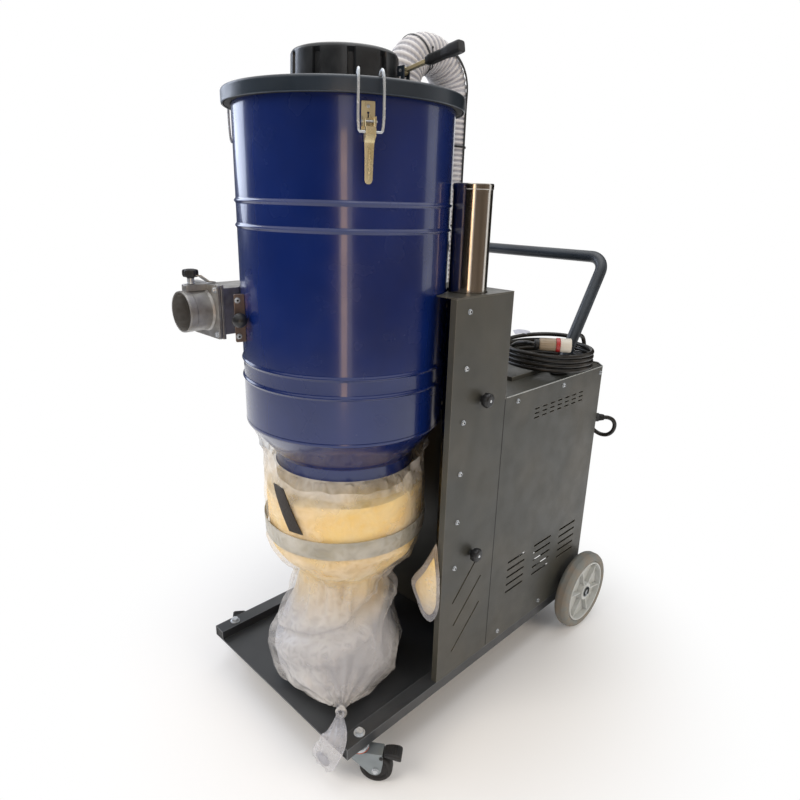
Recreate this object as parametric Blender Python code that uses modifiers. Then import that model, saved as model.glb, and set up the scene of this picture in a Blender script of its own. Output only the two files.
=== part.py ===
"""Wheeled dust collector: filter drum over a bag bay, column, blower cabinet, handle.

Metres, +Z up. +X is the right side, -Y the front with the inlet, +Y the rear with the
handle. The origin is on the floor, under the middle of the length and of the width.
"""
from math import atan2, cos, pi, radians, sin

import bmesh
import bpy
from mathutils import Matrix, Vector

# ---- driving dimensions -------------------------------------------------------------
GAP = 0.0003                # left between pieces that touch
SHEET = 0.0025              # steel sheet

LENGTH = 1.111              # inlet mouth to the back of the tyres
MOUTH_Y = -LENGTH / 2
TRAY_Y = MOUTH_Y + 0.078    # front edge of the tray, which the Y sizes below start from

HALF_W = 0.2815             # chassis, column and cabinet
TRAY_LENGTH = 0.984
TRAY_BOTTOM = 0.094
RAIL_TOP = 0.122
RAIL_WIDTH = 0.037
FLOOR_TOP = TRAY_BOTTOM + 0.003

TYRE_R = 0.120
TYRE_WIDTH = 0.048
TYRE_OUTER_X = 0.346
AXLE_Y = LENGTH / 2 - TYRE_R
AXLE_R = 0.010

CASTER_R = 0.0375
CASTER_X = 0.264
CASTER_Y = TRAY_Y + 0.050
CASTER_TRAIL = 0.040
CASTER_TURN = radians(37)   # from +X towards the rear

COLUMN_FRONT = TRAY_Y + 0.287
COLUMN_BACK = TRAY_Y + 0.484
COLUMN_TOP = 1.073
COLUMN_FLANGE = 0.014

CABINET_BACK = TRAY_Y + TRAY_LENGTH
CABINET_TOP = 0.822
CABINET_CHAMFER = 0.030
CORD_TRAY = (0.400, 0.320)  # outer width and length
CORD_TRAY_Y = TRAY_Y + 0.785
CORD_TRAY_FLOOR = 0.797
CORD_TRAY_RIM = 0.830

DRUM_Y = TRAY_Y + 0.231
DRUM_R = 0.229
DRUM_WALL = 0.002
DRUM_BOTTOM = 0.779
LID_R = 0.248
LID_RIM = 1.429
LID_TOP = 1.457
LID_PLATE = 0.004
CAP_R = 0.111
CAP_TOP = 1.535
BEADS = (1.249, 1.200, 0.917, 0.877)
FILTER_Z = 1.080            # foot of the filter cartridge
OUTLET_R = 0.165
OUTLET_BOTTOM = 0.664

POST_X = 0.2225
POST_Y = TRAY_Y + 0.391
POST_R = 0.0415
POST_BOTTOM = 0.400
POST_TOP = 1.295
SADDLES = {"upper": 1.034, "lower": 0.802}
CLAMPS = {"upper": 0.841, "lower": 0.449}

HOSE_R = 0.043
HOSE_PIPE_R = 0.0395
PORT_Y = TRAY_Y + 0.391
SPIGOT_Y = TRAY_Y + 0.555
PORT_TOP = 1.482
SPIGOT_TOP = 0.860

INLET_X = -0.170
INLET_Z = 1.020
INLET_R = 0.044
INLET_BORE = 0.041
INLET_FLANGE = 0.116        # square
INLET_DUCT = 0.100          # square, behind the flanges
FLANGE_Y = TRAY_Y - 0.0125
FLANGE_T = 0.007
BRACKET_AZIMUTH = radians(-106)     # from +X round to the front

LATCHES = {"right": radians(60), "left": radians(-60)}     # from the front round to +X
LATCH_PIVOT = 1.386
LATCH_PIVOT_OUT = 0.012
LATCH_PIN = 1.368
LATCH_PIN_OUT = 0.0245
LATCH_WIRE = 0.002

LEVER_PIVOT = Vector((0.113, TRAY_Y + 0.288, 1.500))
LEVER_RISE = radians(10)

HANDLE_R = 0.0160
HANDLE_HALF = 0.2365
HANDLE_FOOT = (TRAY_Y + 0.724, 0.720)
HANDLE_TOP = (TRAY_Y + 0.9788, 1.1206)
HANDLE_BEND = 0.045

BLOWER_Z = FLOOR_TOP + 0.168
BLOWER_R = 0.165
BLOWER_Y = (TRAY_Y + 0.505, TRAY_Y + 0.615)
MOTOR_R = 0.090
MOTOR_BACK = TRAY_Y + 0.860
SHAFT_R = 0.008

SWITCH_BOX = (Vector((-0.095, CABINET_BACK + GAP, 0.590)),
              Vector((0.095, CABINET_BACK + 0.026, 0.730)))
BUTTON_R = 0.012
BUTTON_Z = 0.620
BUTTONS = {"start_button": -0.035, "stop_button": 0.035}
ISOLATOR_Z = 0.685

BAG_R = 0.193
BAG_Z = (0.480, 0.656)
WAIST_R = 0.112
WAIST_Z = 0.385
SACK_R = 0.168
SACK_SHIFT = (0.030, -0.051)    # the sack leans to the front and right of the drum's axis

CORD_R = 0.006
COIL_CENTRE = Vector((0.170, TRAY_Y + 0.830, 0.0))
COIL_R = (0.093, 0.130)
COIL_Z = (CORD_TRAY_RIM + GAP, 0.886)
GLAND = Vector((HALF_W - CABINET_CHAMFER / 2, CABINET_BACK - CABINET_CHAMFER / 2, 0.660))
GLAND_LENGTH = 0.030
PLUG_LENGTH = 0.095
PLUG_R = 0.019
PLUG_TURN = radians(38)     # the plug's axis, from +X


# ---- collections and materials ------------------------------------------------------
for old in list(bpy.data.objects):
    bpy.data.objects.remove(old, do_unlink=True)

PARTS = bpy.data.collections.new("dust_collector")
CUTTERS = bpy.data.collections.new("cutters")
bpy.context.scene.collection.children.link(PARTS)
bpy.context.scene.collection.children.link(CUTTERS)


def material(name, colour, roughness, metallic=0.0):
    """A Principled material of one colour."""
    mat = bpy.data.materials.new(name)
    mat.use_nodes = True
    shader = mat.node_tree.nodes["Principled BSDF"]
    shader.inputs["Base Color"].default_value = (*colour, 1.0)
    shader.inputs["Roughness"].default_value = roughness
    shader.inputs["Metallic"].default_value = metallic
    return mat


CHARCOAL = material("charcoal_coat", (0.045, 0.049, 0.051), 0.5)
GUNMETAL = material("gunmetal_coat", (0.035, 0.042, 0.050), 0.55)
BLUE = material("blue_enamel", (0.010, 0.024, 0.195), 0.22)
HANDLE_BLUE = material("handle_coat", (0.026, 0.042, 0.065), 0.4)
POLISHED = material("polished_steel", (0.62, 0.60, 0.57), 0.15, 1.0)
ZINC = material("zinc_plate", (0.58, 0.48, 0.25), 0.35, 1.0)
CAST = material("cast_aluminium", (0.50, 0.51, 0.52), 0.45, 1.0)
BLACK = material("black_plastic", (0.015, 0.015, 0.016), 0.5)
RUBBER = material("grey_rubber", (0.19, 0.17, 0.16), 0.8)
CREAM = material("cream_plastic", (0.55, 0.55, 0.50), 0.5)
FILM = material("bag_film", (0.80, 0.72, 0.55), 0.3)
HOSE = material("clear_hose", (0.72, 0.72, 0.70), 0.3)
PAPER = material("filter_felt", (0.75, 0.74, 0.70), 0.9)
BEIGE = material("beige_plug", (0.45, 0.33, 0.20), 0.5)
GREEN = material("green_button", (0.02, 0.30, 0.06), 0.4)
RED = material("red_button", (0.50, 0.02, 0.02), 0.4)


# ---- modelling helpers --------------------------------------------------------------
def keep(name, mesh, mat, matrix=None):
    """Add a mesh to the parts under its node's name."""
    mesh.name = name
    obj = bpy.data.objects.new(name, mesh)
    obj.data.materials.clear()
    obj.data.materials.append(mat)
    obj.matrix_world = matrix if matrix else Matrix.Identity(4)
    PARTS.objects.link(obj)
    return obj


def smooth(obj):
    """Shade a round piece smooth, with its edges sharp."""
    obj.data.shade_smooth()
    obj.data.set_sharp_from_angle(angle=radians(35))
    return obj


def block_mesh(low, high):
    """A box between two corners."""
    low, high = Vector(low), Vector(high)
    bm = bmesh.new()
    bmesh.ops.create_cube(bm, size=1.0)
    bmesh.ops.scale(bm, vec=high - low, verts=bm.verts)
    bmesh.ops.translate(bm, vec=(low + high) / 2, verts=bm.verts)
    mesh = bpy.data.meshes.new("block")
    bm.to_mesh(mesh)
    bm.free()
    return mesh


def rod_mesh(start, end, radius, segments=24):
    """A cylinder from start to end."""
    start, end = Vector(start), Vector(end)
    run = end - start
    turn = Vector((0, 0, 1)).rotation_difference(run).to_matrix().to_4x4()
    bm = bmesh.new()
    bmesh.ops.create_cone(bm, cap_ends=True, segments=segments, radius1=radius,
                          radius2=radius, depth=run.length)
    bmesh.ops.transform(bm, matrix=Matrix.Translation((start + end) / 2) @ turn, verts=bm.verts)
    mesh = bpy.data.meshes.new("rod")
    bm.to_mesh(mesh)
    bm.free()
    return mesh


def bevel(obj, width, segments=1):
    """Round an object's edges."""
    mod = obj.modifiers.new("edges", "BEVEL")
    mod.width = width
    mod.segments = segments
    mod.limit_method = "ANGLE"
    mod.angle_limit = radians(40)
    return obj


def join_or_cut(obj, mesh, operation="DIFFERENCE", matrix=None):
    """Cut a helper mesh from an object, or join it on."""
    tool = bpy.data.objects.new(obj.name + "_tool", mesh)
    tool.matrix_world = matrix if matrix else Matrix.Identity(4)
    tool.display_type = "WIRE"
    tool.hide_render = True
    CUTTERS.objects.link(tool)
    mod = obj.modifiers.new("tool", "BOOLEAN")
    mod.operation = operation
    mod.object = tool
    return obj


def turned(name, profile, mat, matrix=None, segments=32, ring=False):
    """A turned piece. The profile of (radius, height) runs down the outer side.

    A ring's profile is closed, so the piece has a bore along its axis.
    """
    bm = bmesh.new()
    verts = [bm.verts.new((r, 0.0, z)) for r, z in profile]
    for a, b in zip(verts, verts[1:]):
        bm.edges.new((a, b))
    if ring:
        bm.edges.new((verts[-1], verts[0]))
    mesh = bpy.data.meshes.new(name)
    bm.to_mesh(mesh)
    bm.free()
    obj = keep(name, mesh, mat, matrix)
    mod = obj.modifiers.new("turn", "SCREW")
    mod.axis = "Z"
    mod.steps = segments
    mod.render_steps = segments
    mod.use_merge_vertices = True
    mod.merge_threshold = 0.00001
    mod.use_smooth_shade = True
    return obj


def curve_mesh(curve):
    """The welded mesh of a curve."""
    obj = bpy.data.objects.new("curve", curve)
    PARTS.objects.link(obj)
    depsgraph = bpy.context.evaluated_depsgraph_get()
    mesh = bpy.data.meshes.new_from_object(obj.evaluated_get(depsgraph))
    bpy.data.objects.remove(obj, do_unlink=True)
    bm = bmesh.new()
    bm.from_mesh(mesh)
    bmesh.ops.remove_doubles(bm, verts=bm.verts, dist=0.000005)
    bm.to_mesh(mesh)
    bm.free()
    return mesh


def outline_mesh(outlines, thickness):
    """A flat outline in X and Y, with any holes after it, of a thickness along Z."""
    curve = bpy.data.curves.new("outline", "CURVE")
    curve.dimensions = "2D"
    curve.fill_mode = "BOTH"
    curve.extrude = thickness / 2
    for points in outlines:
        spline = curve.splines.new("POLY")
        spline.points.add(len(points) - 1)
        for point, (x, y) in zip(spline.points, points):
            point.co = (x, y, 0.0, 1.0)
        spline.use_cyclic_u = True
    return curve_mesh(curve)


def tube(name, points, radius, mat, sides=2, cyclic=False):
    """A round wire or tube along points."""
    curve = bpy.data.curves.new(name, "CURVE")
    curve.dimensions = "3D"
    curve.bevel_depth = radius
    curve.bevel_resolution = sides
    curve.use_fill_caps = not cyclic
    spline = curve.splines.new("POLY")
    spline.points.add(len(points) - 1)
    for point, place in zip(spline.points, points):
        point.co = (*place, 1.0)
    spline.use_cyclic_u = cyclic
    return smooth(keep(name, curve_mesh(curve), mat))


def upright(outline, low, high):
    """Where an outline drawn in plan stands, from one height to another."""
    return outline_mesh(outline, high - low), Matrix.Translation((0, 0, (low + high) / 2))


def rectangle(low, high):
    """The four corners of a rectangle."""
    return [(low[0], low[1]), (high[0], low[1]), (high[0], high[1]), (low[0], high[1])]


def both_sides(half):
    """A half outline with X above 0, and its mirror image, as one closed outline."""
    return half + [(-x, y) for x, y in reversed(half)]


def arc(centre, radius, start, end, count):
    """Points along an arc in a plane, both ends among them."""
    steps = [start + (end - start) * k / (count - 1) for k in range(count)]
    return [(centre[0] + radius * cos(a), centre[1] + radius * sin(a)) for a in steps]


def facing(point, direction):
    """A place whose +Z runs along a direction."""
    turn = Vector((0, 0, 1)).rotation_difference(Vector(direction))
    return Matrix.Translation(point) @ turn.to_matrix().to_4x4()


def smooth_route(points, count):
    """Evenly spread points on a smooth curve through a few route points."""
    pts = [Vector(p) for p in points]
    pts = [2 * pts[0] - pts[1]] + pts + [2 * pts[-1] - pts[-2]]
    fine = []
    for a, b, c, d in zip(pts, pts[1:], pts[2:], pts[3:]):
        for k in range(20):
            t = k / 20
            fine.append(0.5 * (2 * b + (c - a) * t + (2 * a - 5 * b + 4 * c - d) * t * t
                               + (3 * b - a - 3 * c + d) * t ** 3))
    fine.append(pts[-2])
    lengths = [0.0]
    for a, b in zip(fine, fine[1:]):
        lengths.append(lengths[-1] + (b - a).length)
    out = []
    k = 0
    for n in range(count):
        goal = lengths[-1] * n / (count - 1)
        while k < len(fine) - 2 and lengths[k + 1] < goal:
            k += 1
        share = (goal - lengths[k]) / (lengths[k + 1] - lengths[k])
        out.append(fine[k].lerp(fine[k + 1], share))
    return out


# ---- chassis ------------------------------------------------------------------------
def chassis():
    """The tray: a floor with a square tube along each side, and a hole for each caster's bolt."""
    inner = HALF_W - RAIL_WIDTH
    section = both_sides([(HALF_W, TRAY_BOTTOM), (HALF_W, RAIL_TOP), (inner, RAIL_TOP),
                          (inner, FLOOR_TOP)])
    holes = [rectangle((side * HALF_W - side * SHEET, TRAY_BOTTOM + SHEET),
                       (side * inner + side * SHEET, RAIL_TOP - SHEET)) for side in (1, -1)]
    mesh = outline_mesh([section] + holes, TRAY_LENGTH)
    lay = Matrix.Translation((0, TRAY_Y + TRAY_LENGTH / 2, 0)) @ Matrix.Rotation(pi / 2, 4, "X")
    tray = keep("chassis_tray", mesh, CHARCOAL, lay)
    for side in (1, -1):
        spot = Vector((side * CASTER_X, CASTER_Y, 0))
        join_or_cut(tray, rod_mesh(spot + Vector((0, 0, 0.08)), spot + Vector((0, 0, 0.15)),
                                   0.0063, 16))
    cut_axle(tray)


def cut_axle(obj):
    """Open a piece for the rear axle."""
    join_or_cut(obj, rod_mesh((-0.5, AXLE_Y, TYRE_R), (0.5, AXLE_Y, TYRE_R), AXLE_R + GAP))


def rear_wheels():
    """The axle, and a hub and a tyre at each end."""
    end = TYRE_OUTER_X + 0.004 - 0.006
    axle = keep("rear_axle", rod_mesh((-end, AXLE_Y, TYRE_R), (end, AXLE_Y, TYRE_R), AXLE_R), POLISHED)
    smooth(axle)
    half = TYRE_WIDTH / 2
    rim = 0.082
    tyre = [(TYRE_R - 0.010, half), (TYRE_R, half - 0.012), (TYRE_R, -half + 0.012),
            (TYRE_R - 0.010, -half), (rim, -half + 0.006), (rim, half - 0.006)]
    rim -= GAP
    hub = [(rim, 0.018), (rim, -0.018), (rim - 0.008, -0.006), (0.028, -0.006), (0.026, -0.022),
           (AXLE_R + 0.0001, -0.022), (AXLE_R + 0.0001, 0.022), (0.026, 0.022), (0.028, 0.006),
           (rim - 0.008, 0.006)]
    for name, side in (("right", 1), ("left", -1)):
        spot = facing((side * (TYRE_OUTER_X - half), AXLE_Y, TYRE_R), (side, 0, 0))
        turned("rear_tyre_" + name, tyre, RUBBER, spot, 28, ring=True)
        turned("rear_hub_" + name, hub, CREAM, spot, 28, ring=True)


def casters():
    """Two swivel casters: raceway with its bolt, fork, wheel and brake pedal."""
    trail = {"right": CASTER_TURN, "left": pi - CASTER_TURN}
    for name, side in (("right", 1), ("left", -1)):
        king = Vector((side * CASTER_X, CASTER_Y, 0))
        race = [(0, 0.1325), (0.0095, 0.1310), (0.0095, RAIL_TOP + GAP), (0.006, RAIL_TOP + GAP),
                (0.006, TRAY_BOTTOM - GAP), (0.022, TRAY_BOTTOM - GAP), (0.022, 0.0845), (0, 0.0845)]
        turned("caster_raceway_" + name, race, ZINC, Matrix.Translation(king), 16)
        turn = Matrix.Translation(king) @ Matrix.Rotation(trail[name], 4, "Z")
        fork = keep("caster_fork_" + name, block_mesh((-0.020, -0.0168, 0.0800), (0.056, 0.0168, 0.0842)),
                    ZINC, turn)
        for edge in (1, -1):
            low, high = sorted((edge * 0.0142, edge * 0.0165))
            cheek = outline_mesh([[(-0.018, 0.0825), (-0.014, 0.066), (0.030, 0.026), (0.042, 0.024),
                                   (0.052, 0.032), (0.0545, 0.0825)]], high - low)
            stand = turn @ Matrix.Translation((0, (low + high) / 2, 0)) @ Matrix.Rotation(pi / 2, 4, "X")
            join_or_cut(fork, cheek, "UNION", stand)
        pin = rod_mesh((CASTER_TRAIL, -0.0200, CASTER_R), (CASTER_TRAIL, 0.0200, CASTER_R), 0.004, 12)
        join_or_cut(fork, pin, "UNION", turn)
        hub = turn @ Matrix.Translation((CASTER_TRAIL, 0, CASTER_R)) @ Matrix.Rotation(pi / 2, 4, "X")
        wheel = [(CASTER_R - 0.003, 0.0125), (CASTER_R, 0.0085), (CASTER_R, -0.0085),
                 (CASTER_R - 0.003, -0.0125), (0.0042, -0.0125), (0.0042, 0.0125)]
        turned("caster_wheel_" + name, wheel, BLACK, hub, 24, ring=True)
        pedal = keep("brake_pedal_" + name, block_mesh((0.0568, -0.0150, 0.0755), (0.0840, 0.0150, 0.0845)),
                     BLACK, turn)
        bevel(pedal, 0.003, 2)


# ---- column and cabinet -------------------------------------------------------------
def column():
    """The sheet channel, open to the front, and the plate that closes its top."""
    front, back, face = COLUMN_FRONT, COLUMN_BACK - GAP, HALF_W
    half = [(face - SHEET - COLUMN_FLANGE, front + SHEET), (face - SHEET - COLUMN_FLANGE, front),
            (face, front), (face, back)]
    inner = [(face - SHEET, back - SHEET), (face - SHEET, front + SHEET)]
    section = half + [(-x, y) for x, y in reversed(half)] + [(-x, y) for x, y in reversed(inner)] + inner
    mesh, place = upright([section], RAIL_TOP + GAP, COLUMN_TOP - SHEET - GAP)
    channel = keep("column_channel", mesh, CHARCOAL, place)
    for height in CLAMPS.values():
        join_or_cut(channel, rod_mesh((0.25, POST_Y, height), (0.35, POST_Y, height), 0.0045, 16))
    plate = keep("column_top", block_mesh((-HALF_W, front, COLUMN_TOP - SHEET), (HALF_W, back, COLUMN_TOP)),
                 CHARCOAL)
    join_or_cut(plate, drum_mould(0.004, 1.0, 1.2))
    for side in (1, -1):
        join_or_cut(plate, post_mould(side, 0.003, 1.0, 1.2))


def drum_mould(clearance, low, high):
    """A cylinder a little larger than the drum, to cut its neighbours with."""
    return rod_mesh((0, DRUM_Y, low), (0, DRUM_Y, high), DRUM_R + clearance, 64)


def post_mould(side, clearance, low, high):
    """A cylinder a little larger than a guide post."""
    return rod_mesh((side * POST_X, POST_Y, low), (side * POST_X, POST_Y, high), POST_R + clearance, 32)


def clamp_knobs():
    """The two knobs that clamp the right guide post through the column's side."""
    start = POST_X + POST_R + GAP
    profile = [(0, 0.058), (0.012, 0.058), (0.0165, 0.054), (0.0175, 0.046), (0.0150, 0.036),
               (0.008, 0.034), (0.004, 0.034), (0.004, 0)]
    for name, height in CLAMPS.items():
        turned("clamp_knob_" + name, profile + [(0, 0)], BLACK,
               facing((start, POST_Y, height), (1, 0, 0)), 20)


def cabinet():
    """The bent side and back sheet, the top plate and the cord tray that is let into it."""
    front, back, face, cut = COLUMN_BACK, CABINET_BACK, HALF_W, CABINET_CHAMFER
    slant = SHEET * 0.414
    outer = [(face, front), (face, back - cut), (face - cut, back)]
    inner = [(face - cut - slant, back - SHEET), (face - SHEET, back - cut - slant), (face - SHEET, front)]
    section = outer + [(-x, y) for x, y in reversed(outer)] + [(-x, y) for x, y in reversed(inner)] + inner
    mesh, place = upright([section], RAIL_TOP + GAP, CABINET_TOP)
    shell = keep("cabinet_shell", mesh, CHARCOAL, place)
    cut_axle(shell)

    inset = SHEET + GAP
    edge = both_sides([(face - inset, front), (face - inset, back - cut - 0.002),
                       (face - cut - 0.002, back - inset)])
    width, length = CORD_TRAY
    half = Vector((width / 2 + GAP, length / 2 + GAP))
    hole = rectangle((-half.x, CORD_TRAY_Y - half.y), (half.x, CORD_TRAY_Y + half.y))
    bore = arc((0, SPIGOT_Y), HOSE_PIPE_R + GAP, 0, 2 * pi * 31 / 32, 32)
    mesh, place = upright([edge, hole, bore], CABINET_TOP - 0.005, CABINET_TOP - 0.0025)
    top = keep("cabinet_top", mesh, CHARCOAL, place)
    foot, head = handle_line()
    for side in (1, -1):
        x = Vector((side * HANDLE_HALF, 0, 0))
        join_or_cut(top, rod_mesh(foot + x, head + x, HANDLE_R + 0.0006, 24))

    low = Vector((-width / 2, CORD_TRAY_Y - length / 2, CORD_TRAY_FLOOR))
    high = Vector((width / 2, CORD_TRAY_Y + length / 2, CORD_TRAY_RIM))
    pan = keep("cord_tray", block_mesh(low, high), CHARCOAL)
    wall = Vector((SHEET, SHEET, SHEET))
    join_or_cut(pan, block_mesh(low + wall, high - wall + Vector((0, 0, 0.05))))


def handle_line():
    """The lower end and the upper end of a handle's leg, at X = 0."""
    return Vector((0, *HANDLE_FOOT)), Vector((0, *HANDLE_TOP))


def push_handle():
    """A tube bent to a U, with its legs leaning back and its ends inside the cabinet."""
    foot, head = handle_line()
    up = (head - foot).normalized()
    centre = head - up * HANDLE_BEND
    across = HANDLE_HALF - HANDLE_BEND
    bend = [Vector((across, 0, 0)) + centre + Vector((x, 0, 0)) + up * y
            for x, y in arc((0, 0), HANDLE_BEND, 0, pi / 2, 7)]
    half = [foot + Vector((HANDLE_HALF, 0, 0))] + bend
    mirror = [Vector((-p.x, p.y, p.z)) for p in reversed(half)]
    tube("push_handle", half + mirror, HANDLE_R, HANDLE_BLUE, 3)


# ---- blower -------------------------------------------------------------------------
def blower():
    """Housing, motor, rotor and the pipe down from the hose."""
    front, back = BLOWER_Y
    wall = 0.005
    housing = keep("blower_housing", rod_mesh((0, front, BLOWER_Z), (0, back, BLOWER_Z), BLOWER_R, 40), CAST)
    join_or_cut(housing, rod_mesh((0, front + wall, BLOWER_Z), (0, back - wall, BLOWER_Z),
                                  BLOWER_R - wall, 40))
    join_or_cut(housing, rod_mesh((0, back - 0.02, BLOWER_Z), (0, back + 0.02, BLOWER_Z),
                                  SHAFT_R + 0.004, 16))
    join_or_cut(housing, rod_mesh((0, SPIGOT_Y, BLOWER_Z + 0.12), (0, SPIGOT_Y, BLOWER_Z + 0.2), 0.034, 24))
    pipe_foot = BLOWER_Z + BLOWER_R + GAP
    bore = HOSE_PIPE_R - SHEET
    turned("suction_pipe", [(HOSE_PIPE_R, SPIGOT_TOP), (HOSE_PIPE_R, pipe_foot), (bore, pipe_foot),
                            (bore, SPIGOT_TOP)],
           POLISHED, Matrix.Translation((0, SPIGOT_Y, 0)), 28, ring=True)

    start = back + GAP
    motor = keep("blower_motor", rod_mesh((0, start, BLOWER_Z), (0, MOTOR_BACK, BLOWER_Z), MOTOR_R, 32),
                 CAST)
    join_or_cut(motor, block_mesh((-0.06, start + 0.05, FLOOR_TOP + GAP),
                                  (0.06, MOTOR_BACK - 0.05, BLOWER_Z)), "UNION")
    join_or_cut(motor, rod_mesh((0, start - 0.01, BLOWER_Z), (0, start + 0.045, BLOWER_Z),
                                SHAFT_R + 0.001, 16))

    rotor = keep("blower_rotor", rod_mesh((0, front + 0.020, BLOWER_Z), (0, back - 0.020, BLOWER_Z),
                                          0.032, 24), CAST)
    tip, half_t = 0.148, 0.0025
    for k in range(4):
        turn = Matrix.Translation((0, 0, BLOWER_Z)) @ Matrix.Rotation(pi * k / 4, 4, "Y")
        blades = block_mesh((-tip, front + 0.025, -half_t), (tip, back - 0.025, half_t))
        join_or_cut(rotor, blades, "UNION", turn)
    join_or_cut(rotor, rod_mesh((0, front + 0.012, BLOWER_Z), (0, start + 0.040, BLOWER_Z), SHAFT_R, 16),
                "UNION")


# ---- switches -----------------------------------------------------------------------
def switches():
    """The box on the cabinet's back, with two buttons in it and the isolator's knob on it."""
    low, high = SWITCH_BOX
    box = keep("switch_box", block_mesh(low, high), BLACK)
    for name, x in BUTTONS.items():
        join_or_cut(box, rod_mesh((x, high.y - 0.018, BUTTON_Z), (x, high.y + 0.01, BUTTON_Z),
                                  BUTTON_R + 0.0006, 24))
        colour = GREEN if name == "start_button" else RED
        turned(name, [(0, 0.007), (BUTTON_R - 0.002, 0.007), (BUTTON_R, 0.005), (BUTTON_R, -0.010),
                      (0, -0.010)], colour, facing((x, high.y, BUTTON_Z), (0, 1, 0)), 20)
    knob = turned("isolator_knob", [(0, 0.010), (0.017, 0.010), (0.019, 0.008), (0.019, GAP), (0, GAP)],
                  RED, facing((0, high.y, ISOLATOR_Z), (0, 1, 0)), 24)
    join_or_cut(knob, block_mesh((-0.004, high.y + 0.005, ISOLATOR_Z - 0.018),
                                 (0.004, high.y + 0.020, ISOLATOR_Z + 0.018)), "UNION")


# ---- drum ---------------------------------------------------------------------------
def drum():
    """The drum with its beads and its inlet opening, and the hopper cone under it."""
    top = LID_TOP - LID_PLATE - GAP
    outer = [(DRUM_R, top)]
    for z in BEADS:
        outer += [(DRUM_R, z + 0.006), (DRUM_R + 0.0035, z), (DRUM_R, z - 0.006)]
    outer.append((DRUM_R, DRUM_BOTTOM))
    inner = [(DRUM_R - DRUM_WALL, DRUM_BOTTOM), (DRUM_R - DRUM_WALL, top)]
    shell = turned("drum_shell", outer + inner, BLUE, Matrix.Translation((0, DRUM_Y, 0)), 40, ring=True)
    join_or_cut(shell, rod_mesh((INLET_X, MOUTH_Y, INLET_Z), (INLET_X, DRUM_Y, INLET_Z), INLET_BORE, 24))

    cone_top = DRUM_BOTTOM - GAP
    cone = [(DRUM_R, cone_top), (DRUM_R, cone_top - 0.006), (OUTLET_R, 0.692), (OUTLET_R, OUTLET_BOTTOM)]
    wall = [(r - DRUM_WALL, z) for r, z in ((OUTLET_R, OUTLET_BOTTOM), (OUTLET_R, 0.693),
                                            (DRUM_R, cone_top))]
    turned("hopper_cone", cone + wall, BLUE, Matrix.Translation((0, DRUM_Y, 0)), 36, ring=True)


def filter_cartridge():
    """A pleated ring that hangs under the lid."""
    pleats = 20
    outline = []
    for k in range(pleats * 2):
        r = 0.150 if k % 2 else 0.132
        a = pi * k / pleats
        outline.append((r * cos(a), DRUM_Y + r * sin(a)))
    bore = arc((0, DRUM_Y), 0.110, 0, 2 * pi * 31 / 32, 32)
    mesh, place = upright([outline, bore], FILTER_Z, LID_TOP - LID_PLATE - 0.006)
    keep("filter_cartridge", mesh, PAPER, place)


def lid():
    """The lid, its round head and the port for the hose."""
    spot = Matrix.Translation((0, DRUM_Y, 0))
    under = LID_TOP - LID_PLATE
    plate = turned("lid", [(0, LID_TOP), (LID_R - 0.006, LID_TOP), (LID_R, LID_TOP - 0.006),
                           (LID_R, LID_RIM), (LID_R - 0.004, LID_RIM), (LID_R - 0.004, under - 0.004),
                           (LID_R - 0.008, under), (0, under)], GUNMETAL, spot, 40)
    join_or_cut(plate, rod_mesh((0, PORT_Y, 1.4), (0, PORT_Y, 1.5), HOSE_PIPE_R + GAP, 28))
    for side in (1, -1):
        y = LEVER_PIVOT.y + side * 0.006
        low, high = sorted((y, y + side * 0.003))
        ear = block_mesh((LEVER_PIVOT.x - 0.010, low, LID_TOP - 0.001),
                         (LEVER_PIVOT.x + 0.010, high, 1.509))
        join_or_cut(plate, ear, "UNION")
    ends = Vector((0, 0.011, 0))
    join_or_cut(plate, rod_mesh(LEVER_PIVOT - ends, LEVER_PIVOT + ends, 0.003, 12), "UNION")

    base = LID_TOP + GAP
    turned("lid_cap", [(0, CAP_TOP), (CAP_R - 0.014, CAP_TOP), (CAP_R - 0.004, CAP_TOP - 0.010),
                       (CAP_R, base), (CAP_R - 0.005, base), (CAP_R - 0.012, CAP_TOP - 0.012),
                       (0, CAP_TOP - 0.006)], BLACK, spot, 32)
    bore = HOSE_PIPE_R - SHEET
    turned("lid_port", [(HOSE_PIPE_R, PORT_TOP), (HOSE_PIPE_R, base + 0.004), (0.047, base + 0.004),
                        (0.047, base), (HOSE_PIPE_R, base), (HOSE_PIPE_R, under - 0.002),
                        (bore, under - 0.002), (bore, PORT_TOP)],
           GUNMETAL, Matrix.Translation((0, PORT_Y, 0)), 24, ring=True)


def cleaning_lever():
    """The flat lever and its grip, which shake the filter clean."""
    turn = Matrix.Translation(LEVER_PIVOT) @ Matrix.Rotation(-LEVER_RISE, 4, "Y")
    lever = keep("cleaning_lever", rod_mesh((0, -0.0055, 0), (0, 0.0055, 0), 0.008, 16), ZINC, turn)
    join_or_cut(lever, block_mesh((0, -0.0050, -0.0035), (0.062, 0.0050, 0.0035)), "UNION", turn)
    bore = rod_mesh((0, -0.02, 0), (0, 0.02, 0), 0.0032, 12)
    join_or_cut(lever, bore, "DIFFERENCE", turn)
    grip = [(0, 0.086), (0.008, 0.086), (0.0105, 0.083), (0.0105, 0.060), (0.0085, 0.042), (0.0080, 0.003),
            (0.007, 0.0), (0, 0.0)]
    start = turn @ Vector((0.062 + GAP, 0, 0))
    turned("lever_grip", grip, BLACK, facing(start, turn.to_3x3() @ Vector((1, 0, 0))), 20)


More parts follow.
